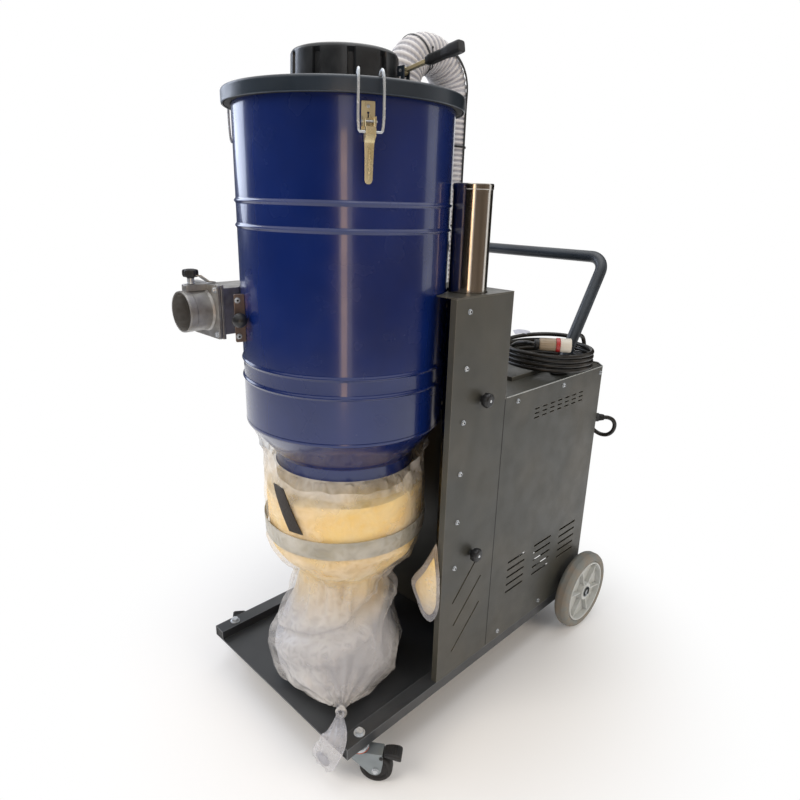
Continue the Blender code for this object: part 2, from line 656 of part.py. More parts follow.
# ---- guide posts --------------------------------------------------------------------
def guide_posts():
    """Two polished tubes, and the two saddles that carry the drum between them."""
    wall = 0.003
    for name, side in (("right", 1), ("left", -1)):
        turned("guide_post_" + name,
               [(0, POST_TOP), (POST_R - 0.003, POST_TOP), (POST_R, POST_TOP - 0.003), (POST_R, POST_BOTTOM),
                (POST_R - wall, POST_BOTTOM), (POST_R - wall, POST_TOP - wall), (0, POST_TOP - wall)],
               POLISHED, Matrix.Translation((side * POST_X, POST_Y, 0)), 32)
    for name, height in SADDLES.items():
        low, high = height - 0.020, height + 0.020
        saddle = keep("drum_saddle_" + name,
                      block_mesh((-POST_X, TRAY_Y + 0.395, low), (POST_X, TRAY_Y + 0.4735, high)), CHARCOAL)
        join_or_cut(saddle, drum_mould(0.0012, low - 0.01, high + 0.01))
        for side in (1, -1):
            join_or_cut(saddle, post_mould(side, GAP, low - 0.01, high + 0.01))


# ---- inlet --------------------------------------------------------------------------
def inlet():
    """Pipe, adapter, bracket and the two knobs at the dust inlet."""
    axis = Vector((INLET_X, 0, INLET_Z))
    half = INLET_FLANGE / 2
    seam = FLANGE_Y + FLANGE_T
    bore = (axis + Vector((0, MOUTH_Y - 0.01, 0)), axis + Vector((0, DRUM_Y, 0)))

    pipe = keep("inlet_pipe", rod_mesh(axis + Vector((0, MOUTH_Y, 0)), axis + Vector((0, seam, 0)),
                                       INLET_R, 32), CAST)
    join_or_cut(pipe, block_mesh((INLET_X - half, FLANGE_Y, INLET_Z - half),
                                 (INLET_X + half, seam, INLET_Z + half)), "UNION")
    pad_top = INLET_Z + 0.057
    join_or_cut(pipe, block_mesh((INLET_X - 0.012, TRAY_Y - 0.0675, INLET_Z + 0.030),
                                 (INLET_X + 0.012, TRAY_Y - 0.0145, pad_top)), "UNION")
    join_or_cut(pipe, rod_mesh(*bore, INLET_BORE, 28))

    start = seam + GAP
    adapter = keep("inlet_adapter", block_mesh((INLET_X - half, start, INLET_Z - half),
                                               (INLET_X + half, start + FLANGE_T, INLET_Z + half)), CAST)
    duct = INLET_DUCT / 2
    join_or_cut(adapter, block_mesh((INLET_X - duct, start + 0.002, INLET_Z - duct),
                                    (INLET_X + duct, TRAY_Y + 0.170, INLET_Z + duct)), "UNION")
    join_or_cut(adapter, rod_mesh(*bore, INLET_BORE, 28))
    join_or_cut(adapter, drum_mould(0.0016, 0.9, 1.15))

    # local X runs out from the drum's axis, local Y across the bracket
    stand = (Matrix.Translation((0, DRUM_Y, 1.0135)) @ Matrix.Rotation(BRACKET_AZIMUTH, 4, "Z")
             @ Matrix.Translation((DRUM_R + 0.0005, 0, 0)))
    strip = keep("inlet_bracket", block_mesh((0, -0.002, -0.0505), (0.026, 0.002, 0.0505)), POLISHED, stand)
    bevel(strip, 0.0008)
    ball_r = 0.0155
    ball = [(ball_r * cos(a), 0.022 + ball_r * sin(a))
            for a in (radians(60 - 30 * k) for k in range(4))]
    turned("inlet_ball_knob", [(0, 0.022 + ball_r)] + ball + [(0.004, 0.0075), (0.004, GAP), (0, GAP)],
           BLACK, facing(stand @ Vector((0.0175, 0.002, 0)), stand.to_3x3() @ Vector((0, 1, 0))), 16)

    lobes = 6
    star = []
    for k in range(lobes * 4):
        a = 2 * pi * k / (lobes * 4)
        r = 0.0150 + 0.0016 * cos(lobes * a)
        star.append((r * cos(a), r * sin(a)))
    stem_foot = Vector((INLET_X, TRAY_Y - 0.051, pad_top + GAP))
    knob = keep("inlet_star_knob", outline_mesh([star], 0.018), BLACK,
                Matrix.Translation(stem_foot + Vector((0, 0, 0.0225))))
    join_or_cut(knob, rod_mesh(stem_foot, stem_foot + Vector((0, 0, 0.015)), 0.0075, 12), "UNION")


# ---- latches ------------------------------------------------------------------------
def latches():
    """Two toggle latches: a plate on the drum, a lever on it and a wire bail over the lid."""
    for name, azimuth in LATCHES.items():
        # local X runs along the drum's wall, local Y inwards, local Z up; 0 is on the wall
        place = Matrix.Translation((0, DRUM_Y, 0)) @ Matrix.Rotation(azimuth, 4, "Z") \
            @ Matrix.Translation((0, -DRUM_R, 0))
        plate = keep("latch_plate_" + name, block_mesh((-0.012, -0.0032, 1.374), (0.012, -0.0010, 1.420)),
                     ZINC, place)
        for side in (1, -1):
            low, high = sorted((side * 0.0100, side * 0.0120))
            join_or_cut(plate, block_mesh((low, -0.0175, 1.378), (high, -0.0020, 1.394)), "UNION", place)
        pin = rod_mesh((-0.0140, -LATCH_PIVOT_OUT, LATCH_PIVOT), (0.0140, -LATCH_PIVOT_OUT, LATCH_PIVOT),
                       0.002, 10)
        join_or_cut(plate, pin, "UNION", place)

        # the lever hangs from its pin, with an eye in front of it for the bail
        arm = [(-LATCH_PIVOT_OUT - 0.0040, 1.391), (-LATCH_PIVOT_OUT + 0.0040, 1.391),
               (-LATCH_PIVOT_OUT + 0.0045, 1.380), (-0.0110, 1.356), (-0.0100, 1.300), (-0.0085, 1.284),
               (-0.0115, 1.284), (-0.0130, 1.300), (-0.0140, 1.352), (-0.0285, 1.362), (-0.0285, 1.374),
               (-0.0205, 1.376)]
        shape = outline_mesh([arm], 0.0185)
        stand = place @ Matrix(((0, 0, 1, 0), (1, 0, 0, 0), (0, 1, 0, 0), (0, 0, 0, 1)))
        lever = keep("latch_lever_" + name, shape, ZINC, stand)
        for out, up, r in ((LATCH_PIVOT_OUT, LATCH_PIVOT, 0.0023),
                           (LATCH_PIN_OUT, LATCH_PIN, LATCH_WIRE + 0.0003)):
            join_or_cut(lever, rod_mesh((-0.03, -out, up), (0.03, -out, up), r, 12), "DIFFERENCE", place)

        half = 0.022
        over = LID_TOP + LATCH_WIRE + 0.0006
        hook_in = 0.006
        side_run = [Vector((half, -LATCH_PIN_OUT, LATCH_PIN)), Vector((half, -LATCH_PIN_OUT - 0.002, 1.400)),
                    Vector((half, -LATCH_PIN_OUT - 0.002, over - 0.010)),
                    Vector((half, -LATCH_PIN_OUT, over - 0.002)),
                    Vector((half - 0.001, -0.020, over + 0.001)),
                    Vector((half - 0.003, -hook_in, over))]
        loop = side_run + [Vector((-p.x, p.y, p.z)) for p in reversed(side_run)]
        tube("latch_bail_" + name, [place @ p for p in loop], LATCH_WIRE, ZINC, 2, cyclic=True)


# ---- soft pieces --------------------------------------------------------------------
def suction_hose():
    """The hose from the lid's port over and down to the pipe in the cabinet's top."""
    reach = (SPIGOT_Y - PORT_Y) / 2
    centre = (PORT_Y + reach, PORT_TOP + 0.010)
    bend = [(PORT_Y, PORT_TOP + GAP)] + arc(centre, reach, pi, 0, 13)
    steps = 6
    down = [(SPIGOT_Y, centre[1] + (SPIGOT_TOP + GAP - centre[1]) * k / steps) for k in range(1, steps + 1)]
    tube("suction_hose", [(0, y, z) for y, z in bend + down], HOSE_R, HOSE, 3)


def bags():
    """The wide upper length of the bag and the sack that is tied off on the tray."""
    spot = Matrix.Translation((0, DRUM_Y, 0))
    low, high = BAG_Z
    turned("dust_bag_upper", [(0, high), (BAG_R - 0.02, high), (BAG_R, high - 0.03),
                              (BAG_R + 0.004, low + 0.06), (BAG_R, low), (0, low)], FILM, spot, 24)
    floor = FLOOR_TOP + 0.001
    sack = [(0, low - GAP), (WAIST_R + 0.035, low - GAP), (WAIST_R, WAIST_Z), (SACK_R - 0.006, 0.270),
            (SACK_R, 0.160), (SACK_R - 0.006, floor), (0, floor)]
    lean = Matrix.Translation((*SACK_SHIFT, 0))
    turned("dust_bag_lower", sack, FILM, lean @ spot, 24)


# ---- mains cord ---------------------------------------------------------------------
def mains_cord():
    """Gland, cord, coil and plug. The coil lies on the cord tray, round the handle's right leg."""
    out = Vector((1, 1, 0)).normalized()
    seat = GLAND + out * GAP
    turned("power_gland", [(0, GLAND_LENGTH), (0.0075, GLAND_LENGTH), (0.010, 0.014), (0.0135, 0.013),
                           (0.0135, 0.004), (0.016, 0.003), (0.016, 0), (0, 0)],
           BLACK, facing(seat, out), 20)
    tip = seat + out * (GLAND_LENGTH + GAP)
    middle = (COIL_R[0] + COIL_R[1]) / 2
    join = COIL_CENTRE + Vector((0, middle, COIL_Z[1] + GAP + CORD_R))
    route = cord_route(tip, join)
    tube("power_cord", smooth_route(route, 48), CORD_R, BLACK, 2)

    low, high = COIL_Z
    inner, outer = COIL_R
    r = 0.006
    ring = [(outer - r, high), (outer, high - r), (outer, low + r), (outer - r, low), (inner, low),
            (inner, high)]
    turned("power_cord_coil", ring, BLACK, Matrix.Translation(COIL_CENTRE), 32, ring=True)

    along = Vector((cos(PLUG_TURN), sin(PLUG_TURN), 0))
    toward_front = Vector((sin(PLUG_TURN), -cos(PLUG_TURN), 0))
    centre = COIL_CENTRE + toward_front * (middle - 0.006) + Vector((0, 0, high + GAP + PLUG_R))
    plug = [(0, PLUG_LENGTH), (0.017, PLUG_LENGTH), (0.017, 0.070), (PLUG_R, 0.069), (PLUG_R, 0.050),
            (0.0155, 0.012), (0.009, 0), (0, 0)]
    turned("power_plug", plug, BEIGE, facing(centre - along * PLUG_LENGTH / 2, along), 18)


def cord_route(tip, join):
    """The cord's own points: out of the gland, down in a loop, up the cabinet's back, onto the coil."""
    x, y, z = tip
    back = CABINET_BACK + CORD_R + 0.002
    return [tip, (x + 0.010, y + 0.010, z - 0.001), (x + 0.020, y + 0.019, z - 0.008),
            (x + 0.024, y + 0.026, z - 0.024), (x + 0.018, y + 0.030, z - 0.046),
            (x + 0.002, y + 0.030, z - 0.062), (x - 0.020, y + 0.026, z - 0.064),
            (x - 0.042, y + 0.018, z - 0.050), (x - 0.060, y + 0.008, z - 0.020),
            (x - 0.072, back, z + 0.030), (x - 0.080, back, z + 0.090), (x - 0.086, back, z + 0.150),
            (x - 0.092, back, z + 0.200), (x - 0.099, back - 0.003, z + 0.226),
            (join.x + 0.018, join.y + 0.018, join.z + 0.004), join]


chassis()
rear_wheels()
casters()
column()
clamp_knobs()
cabinet()
push_handle()
blower()
switches()
drum()
filter_cartridge()
lid()
cleaning_lever()
guide_posts()
inlet()
latches()
suction_hose()
bags()
mains_cord()
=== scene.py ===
"""Looks of a wheeled dust collector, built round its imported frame.

Metres, +Z up, +X the right side, -Y the front with the inlet. Each sub-assembly is a class
that holds its sizes and builds and dresses its pieces; each finish is a small class that
builds one procedural material.
"""

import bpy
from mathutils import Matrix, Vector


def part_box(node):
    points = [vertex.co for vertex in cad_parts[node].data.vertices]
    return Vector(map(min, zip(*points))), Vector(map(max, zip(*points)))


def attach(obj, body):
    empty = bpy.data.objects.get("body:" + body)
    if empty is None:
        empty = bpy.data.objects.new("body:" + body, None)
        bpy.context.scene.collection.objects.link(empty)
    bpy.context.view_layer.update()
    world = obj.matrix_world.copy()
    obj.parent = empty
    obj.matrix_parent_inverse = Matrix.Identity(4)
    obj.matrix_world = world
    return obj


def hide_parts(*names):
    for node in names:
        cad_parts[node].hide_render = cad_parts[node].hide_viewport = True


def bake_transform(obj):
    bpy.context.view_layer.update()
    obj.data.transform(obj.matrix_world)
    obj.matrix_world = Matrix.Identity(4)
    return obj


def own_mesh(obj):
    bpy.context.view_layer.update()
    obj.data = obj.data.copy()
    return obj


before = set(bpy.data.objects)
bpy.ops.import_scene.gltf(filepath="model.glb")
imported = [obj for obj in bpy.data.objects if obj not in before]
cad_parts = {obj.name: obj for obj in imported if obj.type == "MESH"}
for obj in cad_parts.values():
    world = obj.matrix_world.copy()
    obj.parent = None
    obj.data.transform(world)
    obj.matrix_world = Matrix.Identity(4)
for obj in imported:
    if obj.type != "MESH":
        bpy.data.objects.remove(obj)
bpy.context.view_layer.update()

import logging
from dataclasses import dataclass, field
from enum import Enum
from math import atan2, ceil, cos, hypot, pi, radians, sin, tau
from typing import Any, Callable, ClassVar, Iterable, Sequence

import bmesh
import bpy
from bpy.types import Curve, Material, Mesh, Node, NodeSocket, NodeTree, Object
from mathutils import Matrix, Vector, noise

LOG = logging.getLogger("dust_collector")
MM = 0.001
Point = Sequence[float]
Spot = tuple[Point, Point]    # a place and the way it faces
TIPPED = Matrix.Rotation(pi / 2, 4, "X")    # turns +Z to -Y


# ---- nodes --------------------------------------------------------------------------
# kinds of node with their settings, as add() takes them
TIMES = "ShaderNodeMath", {"operation": "MULTIPLY"}
PLUS = "ShaderNodeMath", {"operation": "ADD"}
LARGER = "ShaderNodeMath", {"operation": "MAXIMUM"}
MIX = "ShaderNodeMix", {"data_type": "RGBA"}
SMOOTH_RANGE = "ShaderNodeMapRange", {"interpolation_type": "SMOOTHSTEP"}
FACING = "GeometryNodeInputNamedAttribute", {"data_type": "FLOAT_VECTOR"}


def feed(tree: NodeTree, socket: NodeSocket, value: Any) -> None:
    """Set an input socket to a value or a hex colour, or link a node or a socket to it."""
    if isinstance(value, Node):
        value = value.outputs[0]
    if isinstance(value, NodeSocket):
        tree.links.new(value, socket)
    elif isinstance(value, str) and value.startswith("#"):
        socket.default_value = linear(value)
    else:
        socket.default_value = value


def add(tree: NodeTree, kind: str, settings: dict[str, Any] | None = None,
        inputs: dict[Any, Any] | None = None) -> Node:
    """Add a node with its settings, and its inputs set or linked.

    Args:
        tree: The node tree.
        kind: The node's type name.
        settings: The node's own attributes and their values.
        inputs: Values, hex colours, nodes or sockets, by the input's name or number.

    Returns:
        The node.
    """
    node = tree.nodes.new(kind)
    for name, value in (settings or {}).items():
        setattr(node, name, value)
    for key, value in (inputs or {}).items():
        feed(tree, node.inputs[key], value)
    return node


def linear(code: str) -> tuple[float, float, float, float]:
    """Turn an sRGB hex colour to the linear colour that a shader takes."""
    parts = [int(code[k:k + 2], 16) / 255 for k in (1, 3, 5)]
    return (*(c / 12.92 if c <= 0.04045 else ((c + 0.055) / 1.055) ** 2.4 for c in parts), 1.0)


class Surface:
    """A material while it is being built: its tree, its shader and the patterns that drive it."""

    def __init__(self, name: str) -> None:
        """Start a material with one Principled shader and Object coordinates."""
        self.material = bpy.data.materials.new(name)
        self.material.use_nodes = True
        self.tree = self.material.node_tree
        self.shader = self.tree.nodes["Principled BSDF"]
        self.coords = self.add("ShaderNodeTexCoord").outputs["Object"]

    def add(self, kind: str, settings: dict[str, Any] | None = None,
            inputs: dict[Any, Any] | None = None) -> Node:
        """Add a node to this material's tree."""
        return add(self.tree, kind, settings, inputs)

    def set(self, **values: Any) -> None:
        """Set or link the shader's sockets; an underscore stands for a space in their names."""
        for key, value in values.items():
            feed(self.tree, self.shader.inputs[key.replace("_", " ")], value)

    def pattern(self, size_mm: float, low: float, high: float,
            span: tuple[float, float] = (0.3, 0.7), stretch: Point = (1.0, 1.0, 1.0),
            detail: float = 3.0, warp: float = 0.0) -> NodeSocket:
        """Make a noise of a real size.

        Args:
            size_mm: The size of one patch.
            low: The value at the low end of the span.
            high: The value at the high end.
            span: The part of the noise that is spread over low to high.
            stretch: How much longer the patches are along X, Y and Z.
            detail: The noise's detail.
            warp: How much the noise is distorted.

        Returns:
            The socket with the value.
        """
        scaled = self.add("ShaderNodeMapping",
            inputs={"Vector": self.coords, "Scale": [1.0 / (size_mm * MM * s) for s in stretch]})
        grain = self.add("ShaderNodeTexNoise",
            inputs={"Vector": scaled, "Scale": 1.0, "Detail": detail, "Distortion": warp})
        ranged = self.add("ShaderNodeMapRange", inputs={"Value": grain.outputs["Fac"],
            "From Min": span[0], "From Max": span[1], "To Min": low, "To Max": high})
        return ranged.outputs["Result"]

    def facets(self, size_mm: float, edge: float, warp: float) -> NodeSocket:
        """Make a net of sharp ridges between flat facets, as crumpled film has.

        Args:
            size_mm: The size of one facet.
            edge: The ridges' half width, as a share of a facet.
            warp: How much the net wanders.

        Returns:
            The socket, 1 on a ridge and falling to 0 inside a facet.
        """
        wander = self.add("ShaderNodeTexNoise",
            inputs={"Vector": self.coords, "Scale": 0.6 / (size_mm * MM), "Detail": 2.0})
        bent = self.add("ShaderNodeVectorMath", {"operation": "MULTIPLY_ADD"},
            {0: wander.outputs["Color"], 1: [warp * size_mm * MM * 3] * 3, 2: self.coords})
        net = self.add("ShaderNodeTexVoronoi", {"feature": "DISTANCE_TO_EDGE"},
            {"Vector": bent, "Scale": 1.0 / (size_mm * MM)})
        ranged = self.add(*SMOOTH_RANGE, {"Value": net.outputs["Distance"], "From Min": edge,
            "From Max": 0.0, "To Min": 0.0, "To Max": 1.0})
        return ranged.outputs["Result"]

    def band(self, axis: int, centre: float, half: float, soft: float) -> NodeSocket:
        """Make a share that is 1 within half of centre along an axis and fades to 0 over soft."""
        split = self.add("ShaderNodeSeparateXYZ", inputs={0: self.coords})
        away = self.add("ShaderNodeMath", {"operation": "SUBTRACT"},
            {0: split.outputs[axis], 1: centre})
        size = self.add("ShaderNodeMath", {"operation": "ABSOLUTE"}, {0: away})
        ranged = self.add("ShaderNodeMapRange", inputs={"Value": size, "From Min": half,
            "From Max": half + soft, "To Min": 1.0, "To Max": 0.0})
        return ranged.outputs["Result"]

    def tint(self, share: Any, first: Any, second: Any, **values: Any) -> None:
        """Set the base colour to a mix of two, given as hex codes or sockets, and other sockets."""
        body = self.add(*MIX, {0: share, 6: first, 7: second})
        self.set(Base_Color=body.outputs[2], **values)

    def bump(self, *layers: tuple[Any, float]) -> None:
        """Give the shader a bump from layers of (height socket, depth in millimetres)."""
        normal: Any = None
        for height, depth_mm in layers:
            inputs = {"Height": height, "Distance": depth_mm * MM, "Strength": 1.0}
            if normal is not None:
                inputs["Normal"] = normal
            normal = self.add("ShaderNodeBump", inputs=inputs).outputs["Normal"]
        self.set(Normal=normal)


@dataclass(frozen=True)
class Finish:
    """A surface finish, whose material is built once and then shared."""

    name: str
    made: ClassVar[dict[str, Material]] = {}

    def paint(self, surface: Surface) -> None:
        """Set the material's shader; each kind of finish has its own."""
        raise NotImplementedError

    def material(self) -> Material:
        """Return the finish's material."""
        if self.name not in Finish.made:
            surface = Surface(self.name)
            self.paint(surface)
            Finish.made[self.name] = surface.material
        return Finish.made[self.name]


@dataclass(frozen=True)
class PowderCoat(Finish):
    """Fine-textured polyester powder coat, oven-cured on sheet steel.

    It gives a dim, broad sheen with a sandy grain, paler where dust has settled, with a painted
    highlight in a paler colour along its rounded edges.
    """

    colour: str = "#3a3d40"
    dusty: str = "#4a4a48"
    # edge: the colour of the painted highlight along rounded edges
    edge: str = "#5d6266"
    roughness: float = 0.42
    grain_mm: float = 1.4     # the real grain is 0.4 mm, drawn coarser so that it shows
    edge_mm: float = 1.6

    def paint(self, surface: Surface) -> None:
        """Grain, patches of dust and a painted highlight along rounded edges, over one colour."""
        patches = surface.pattern(160, 0.0, 0.75, (0.4, 0.68), detail=5)
        specks = surface.pattern(2.2, 0.0, 0.25, (0.55, 0.75), detail=1)
        dust = surface.add(*PLUS, {0: patches, 1: specks})
        body = surface.add(*MIX, {0: dust, 6: self.colour, 7: self.dusty}).outputs[2]
        # painted highlight: where the Bevel node's rounded normal leaves the true one, the colour
        # turns towards the edge colour, as light catching an edge
        soft = surface.add("ShaderNodeBevel", {"samples": 4}, {"Radius": self.edge_mm * MM})
        flat = surface.add("ShaderNodeNewGeometry")
        facing = surface.add("ShaderNodeVectorMath", {"operation": "DOT_PRODUCT"},
            {0: soft, 1: flat.outputs["Normal"]})
        worn = surface.add("ShaderNodeMapRange", inputs={"Value": facing.outputs["Value"],
            "From Min": 0.995, "From Max": 0.93, "To Min": 0.0, "To Max": 0.8})
        surface.tint(worn, body, self.edge, Roughness=surface.pattern(45, self.roughness - 0.06,
            self.roughness + 0.08), Coat_Weight=0.12, Coat_Roughness=0.3)
        surface.bump((surface.pattern(self.grain_mm, 0.0, 1.0, (0.25, 0.75), detail=2), 0.1))


@dataclass(frozen=True)
class StoveEnamel(Finish):
    """Gloss stove enamel, sprayed thick on the drum.

    It gives deep colour under a mirror-like clear top with orange peel, a wavy skin a few
    millimetres across.
    """

    colour: str = "#0e2462"
    deep: str = "#0a1c51"

    def paint(self, surface: Surface) -> None:
        """Deep colour with orange peel under a clear coat."""
        surface.tint(surface.pattern(210, 0.0, 1.0, detail=4), self.colour, self.deep,
            Roughness=surface.pattern(70, 0.2, 0.3), Coat_Weight=0.6, Coat_Roughness=0.06)
        peel = surface.pattern(4.5, 0.0, 1.0, (0.2, 0.8), detail=2)
        surface.bump((peel, 0.045), (surface.pattern(60, 0.0, 1.0, (0.2, 0.8), detail=1), 0.25))


@dataclass(frozen=True)
class PlatedSteel(Finish):
    """Zinc-plated steel, passivated clear or yellow.

    It gives a metal sheen with faint patches of straw, rose and green from the thin film.
    """

    colour: str = "#c9c6bf"
    stain: str = "#b8a98a"
    roughness: float = 0.28
    metallic: float = 0.6     # the passivated skin scatters the rest

    def paint(self, surface: Surface) -> None:
        """Metal with broad stains and duller patches."""
        stain = surface.pattern(45, 0.0, 0.8, (0.4, 0.75), detail=1)
        surface.tint(stain, self.colour, self.stain, Metallic=self.metallic,
            Roughness=surface.pattern(20, self.roughness - 0.05, self.roughness + 0.06, detail=1))


@dataclass(frozen=True)
class DrawnSteel(Finish):
    """Stainless tube, ground and polished lengthwise.

    It gives long bright and dark streaks up the tube.
    """

    colour: str = "#d0cbc3"
    dark: str = "#a39d94"

    def paint(self, surface: Surface) -> None:
        """Streaks along Z in colour, roughness and height."""
        fine = surface.pattern(1.6, 0.0, 1.0, stretch=(1, 1, 160), detail=3)
        broad = surface.pattern(16, 0.0, 1.0, stretch=(1, 1, 40), detail=2)
        share = surface.add(*TIMES, {0: fine, 1: 0.1})
        surface.tint(broad, self.colour, self.dark, Metallic=1.0,
            Roughness=surface.add(*PLUS, {0: share, 1: 0.12}))
        surface.bump((fine, 0.01))


@dataclass(frozen=True)
class CastAluminium(Finish):
    """Sand-cast aluminium, tumbled and left bare.

    It gives a grey, grainy metal with a soft sheen and darker pits.
    """

    colour: str = "#b4b3b1"
    dark: str = "#8d8984"

    def paint(self, surface: Surface) -> None:
        """Sand grain and dull patches."""
        pits = surface.pattern(2.4, 0.0, 1.0, (0.3, 0.75), detail=4)
        dull = surface.pattern(26, 0.0, 0.9, (0.35, 0.7), detail=4)
        surface.tint(dull, self.colour, self.dark, Metallic=0.75,
            Roughness=surface.pattern(12, 0.36, 0.52))
        surface.bump((pits, 0.1))


@dataclass(frozen=True)
class Moulded(Finish):
    """Injection-moulded ABS, polypropylene or nylon.

    It gives an even colour with a fine spark-eroded texture and a soft sheen.
    """

    colour: str = "#1d1e20"
    worn: str = "#2b2c2e"
    roughness: float = 0.42
    grain_mm: float = 1.0
    depth_mm: float = 0.03
    clear_coat: float = 0.0

    def paint(self, surface: Surface) -> None:
        """Even colour, a little paler in patches, with a fine texture."""
        surface.tint(surface.pattern(30, 0.0, 0.7, detail=4), self.colour, self.worn,
            Roughness=surface.pattern(14, self.roughness - 0.05, self.roughness + 0.07),
            Coat_Weight=self.clear_coat, Coat_Roughness=0.1)
        surface.bump((surface.pattern(self.grain_mm, 0.0, 1.0, detail=2), self.depth_mm))


@dataclass(frozen=True)
class Rubber(Finish):
    """Filled rubber or soft PVC, moulded or extruded, with dust worked into it."""

    colour: str = "#7b7672"
    dusty: str = "#948a7e"
    roughness: float = 0.72
    patch_mm: float = 34

    def paint(self, surface: Surface) -> None:
        """Dull skin with dusty patches and fine pores."""
        dust = surface.pattern(self.patch_mm, 0.0, 0.9, (0.38, 0.68), detail=6)
        surface.tint(dust, self.colour, self.dusty,
            Roughness=surface.pattern(8, self.roughness - 0.08, self.roughness + 0.08))
        surface.bump((surface.pattern(1.5, 0.0, 1.0, detail=3), 0.05))


@dataclass(frozen=True)
class PolytheneFilm(Finish):
    """Blown polythene film, 0.1 mm, creased and dusty inside.

    It gives a milky, half-clear skin with sharp glints on its creases; its colour turns warm in
    a band of height, a painted glow of light shining through the dust, and is cooler elsewhere.
    """

    colour: str = "#dcd9d6"
    # warm: the colour of a painted glow, as of light shining through the dust, in the band that
    # warm_z gives
    warm: str = "#f3d79a"
    warm_z: tuple[float, float, float] = (0.55, 0.0, 0.2)   # height, half height, fade
    alpha: tuple[float, float] = (0.1, 0.62)
    crease_mm: float = 55

    def paint(self, surface: Surface) -> None:
        """Milky colour and alpha that rise along the creases."""
        # painted glow: the colour turns warm in a band of height, as light shining through the dust
        height, half, fade = self.warm_z
        warm = surface.add(*TIMES, {0: surface.band(2, height, half, fade),
            1: surface.pattern(90, 0.35, 1.0, (0.3, 0.6), detail=3)})
        broad = surface.facets(self.crease_mm, 0.55, 0.35)
        fine = surface.facets(self.crease_mm * 0.4, 0.5, 0.3)
        milk = surface.pattern(self.crease_mm * 3.0, 0.05, 0.75, (0.35, 0.7), detail=2)
        ridges = surface.add(*TIMES, {0: surface.add(*TIMES, {0: broad, 1: fine}), 1: 0.22})
        share = surface.add(*PLUS, {0: ridges, 1: milk})
        low, high = self.alpha
        risen = surface.add(*TIMES, {0: share, 1: high - low})
        body = surface.add(*MIX, {0: warm, 6: self.colour, 7: self.warm}).outputs[2]
        surface.tint(surface.add(*TIMES, {0: share, 1: 0.4}), body, "#ffffff", Roughness=0.22,
            IOR=1.51, Specular_IOR_Level=0.7, Alpha=surface.add(*PLUS, {0: risen, 1: low}))
        surface.bump((broad, self.crease_mm * 0.075), (fine, self.crease_mm * 0.02))


@dataclass(frozen=True)
class FineDust(Finish):
    """Fine concrete dust, packed against film.

    It gives a matte powder, painted a glowing warm above a height as light shining through it, and
    greyer below; it is paler where it is loose.
    """

    # colour and pale paint the warm glow of light shining through the dust; low is the grey below
    # low_z
    colour: str = "#f3cd72"
    pale: str = "#f9df9c"
    low: str = "#a6a7ae"
    low_z: float = 0.345

    def paint(self, surface: Surface) -> None:
        """A painted warm glow above, greyer below, with soft banks."""
        banks = surface.pattern(70, 0.0, 1.0, (0.35, 0.65), detail=4)
        body = surface.add(*MIX, {0: banks, 6: self.colour, 7: self.pale}).outputs[2]
        # below low_z the colour turns grey; above it the warm colour is painted light
        split = surface.add("ShaderNodeSeparateXYZ", inputs={0: surface.coords})
        deep = surface.add("ShaderNodeMapRange",
            inputs={"Value": split.outputs[2], "From Min": self.low_z + 0.06,
            "From Max": self.low_z - 0.07, "To Min": 0.0, "To Max": 1.0})
        surface.tint(deep, body, self.low, Roughness=0.9)
        surface.bump((surface.pattern(3, 0.0, 1.0, detail=4), 0.2))


@dataclass(frozen=True)
class RibbedVinyl(Finish):
    """Clear PVC hose over a rigid white spiral.

    It gives milky ribs with clearer, greyer valleys between them; the rib attribute is 1 on
    a rib.
    """

    rib: str = "#cfced2"
    valley: str = "#a5a4ac"

    def paint(self, surface: Surface) -> None:
        """Colour and alpha follow the rib attribute."""
        share = surface.add("ShaderNodeAttribute", {"attribute_name": "rib"}).outputs["Fac"]
        alpha = surface.add("ShaderNodeMapRange", inputs={"Value": share, "From Min": 0.25,
            "From Max": 0.8, "To Min": 0.66, "To Max": 0.98})
        tone = surface.add("ShaderNodeMapRange", inputs={"Value": share, "From Min": 0.2,
            "From Max": 0.75, "To Min": 0.0, "To Max": 1.0})
        dust = surface.pattern(60, 0.0, 0.4, detail=3)
        dusty = surface.add(*MIX, {0: dust, 6: self.rib, 7: "#c2b9ac"}).outputs[2]
        surface.tint(tone, self.valley, dusty, Roughness=surface.pattern(20, 0.2, 0.34),
            Alpha=alpha)
        surface.bump((surface.pattern(5, 0.0, 1.0, detail=2), 0.12))


@dataclass(frozen=True)
class Webbing(Finish):
    """Woven nylon webbing, in 3 mm ribs across its width, which it shows as a fine twill."""

    colour: str = "#221d1a"
    thread: str = "#3a322c"

    def paint(self, surface: Surface) -> None:
        """Two crossed waves as the weave."""
        warp = surface.add("ShaderNodeTexWave", {"bands_direction": "Z"},
            {"Vector": surface.coords, "Scale": 105.0, "Distortion": 0.6})
        weft = surface.add("ShaderNodeTexWave", {"bands_direction": "DIAGONAL"},
            {"Vector": surface.coords, "Scale": 150.0, "Distortion": 0.4})
        weave = surface.add(*TIMES, {0: warp.outputs["Fac"], 1: weft.outputs["Fac"]})
        surface.tint(weave, self.colour, self.thread, Roughness=0.85, Sheen_Weight=0.25)
        surface.bump((weave, 0.4))


@dataclass(frozen=True)
class Felt(Finish):
    """Spun polyester felt or paper pulp: matte, with short fibres."""

    colour: str = "#dedbd2"
    fibre: str = "#c4bfb2"

    def paint(self, surface: Surface) -> None:
        """Fibres in colour and height."""
        fibres = surface.pattern(1.2, 0.0, 1.0, stretch=(1, 1, 5), detail=4)
        surface.tint(fibres, self.colour, self.fibre, Roughness=0.92, Sheen_Weight=0.2)
        surface.bump((fibres, 0.15))


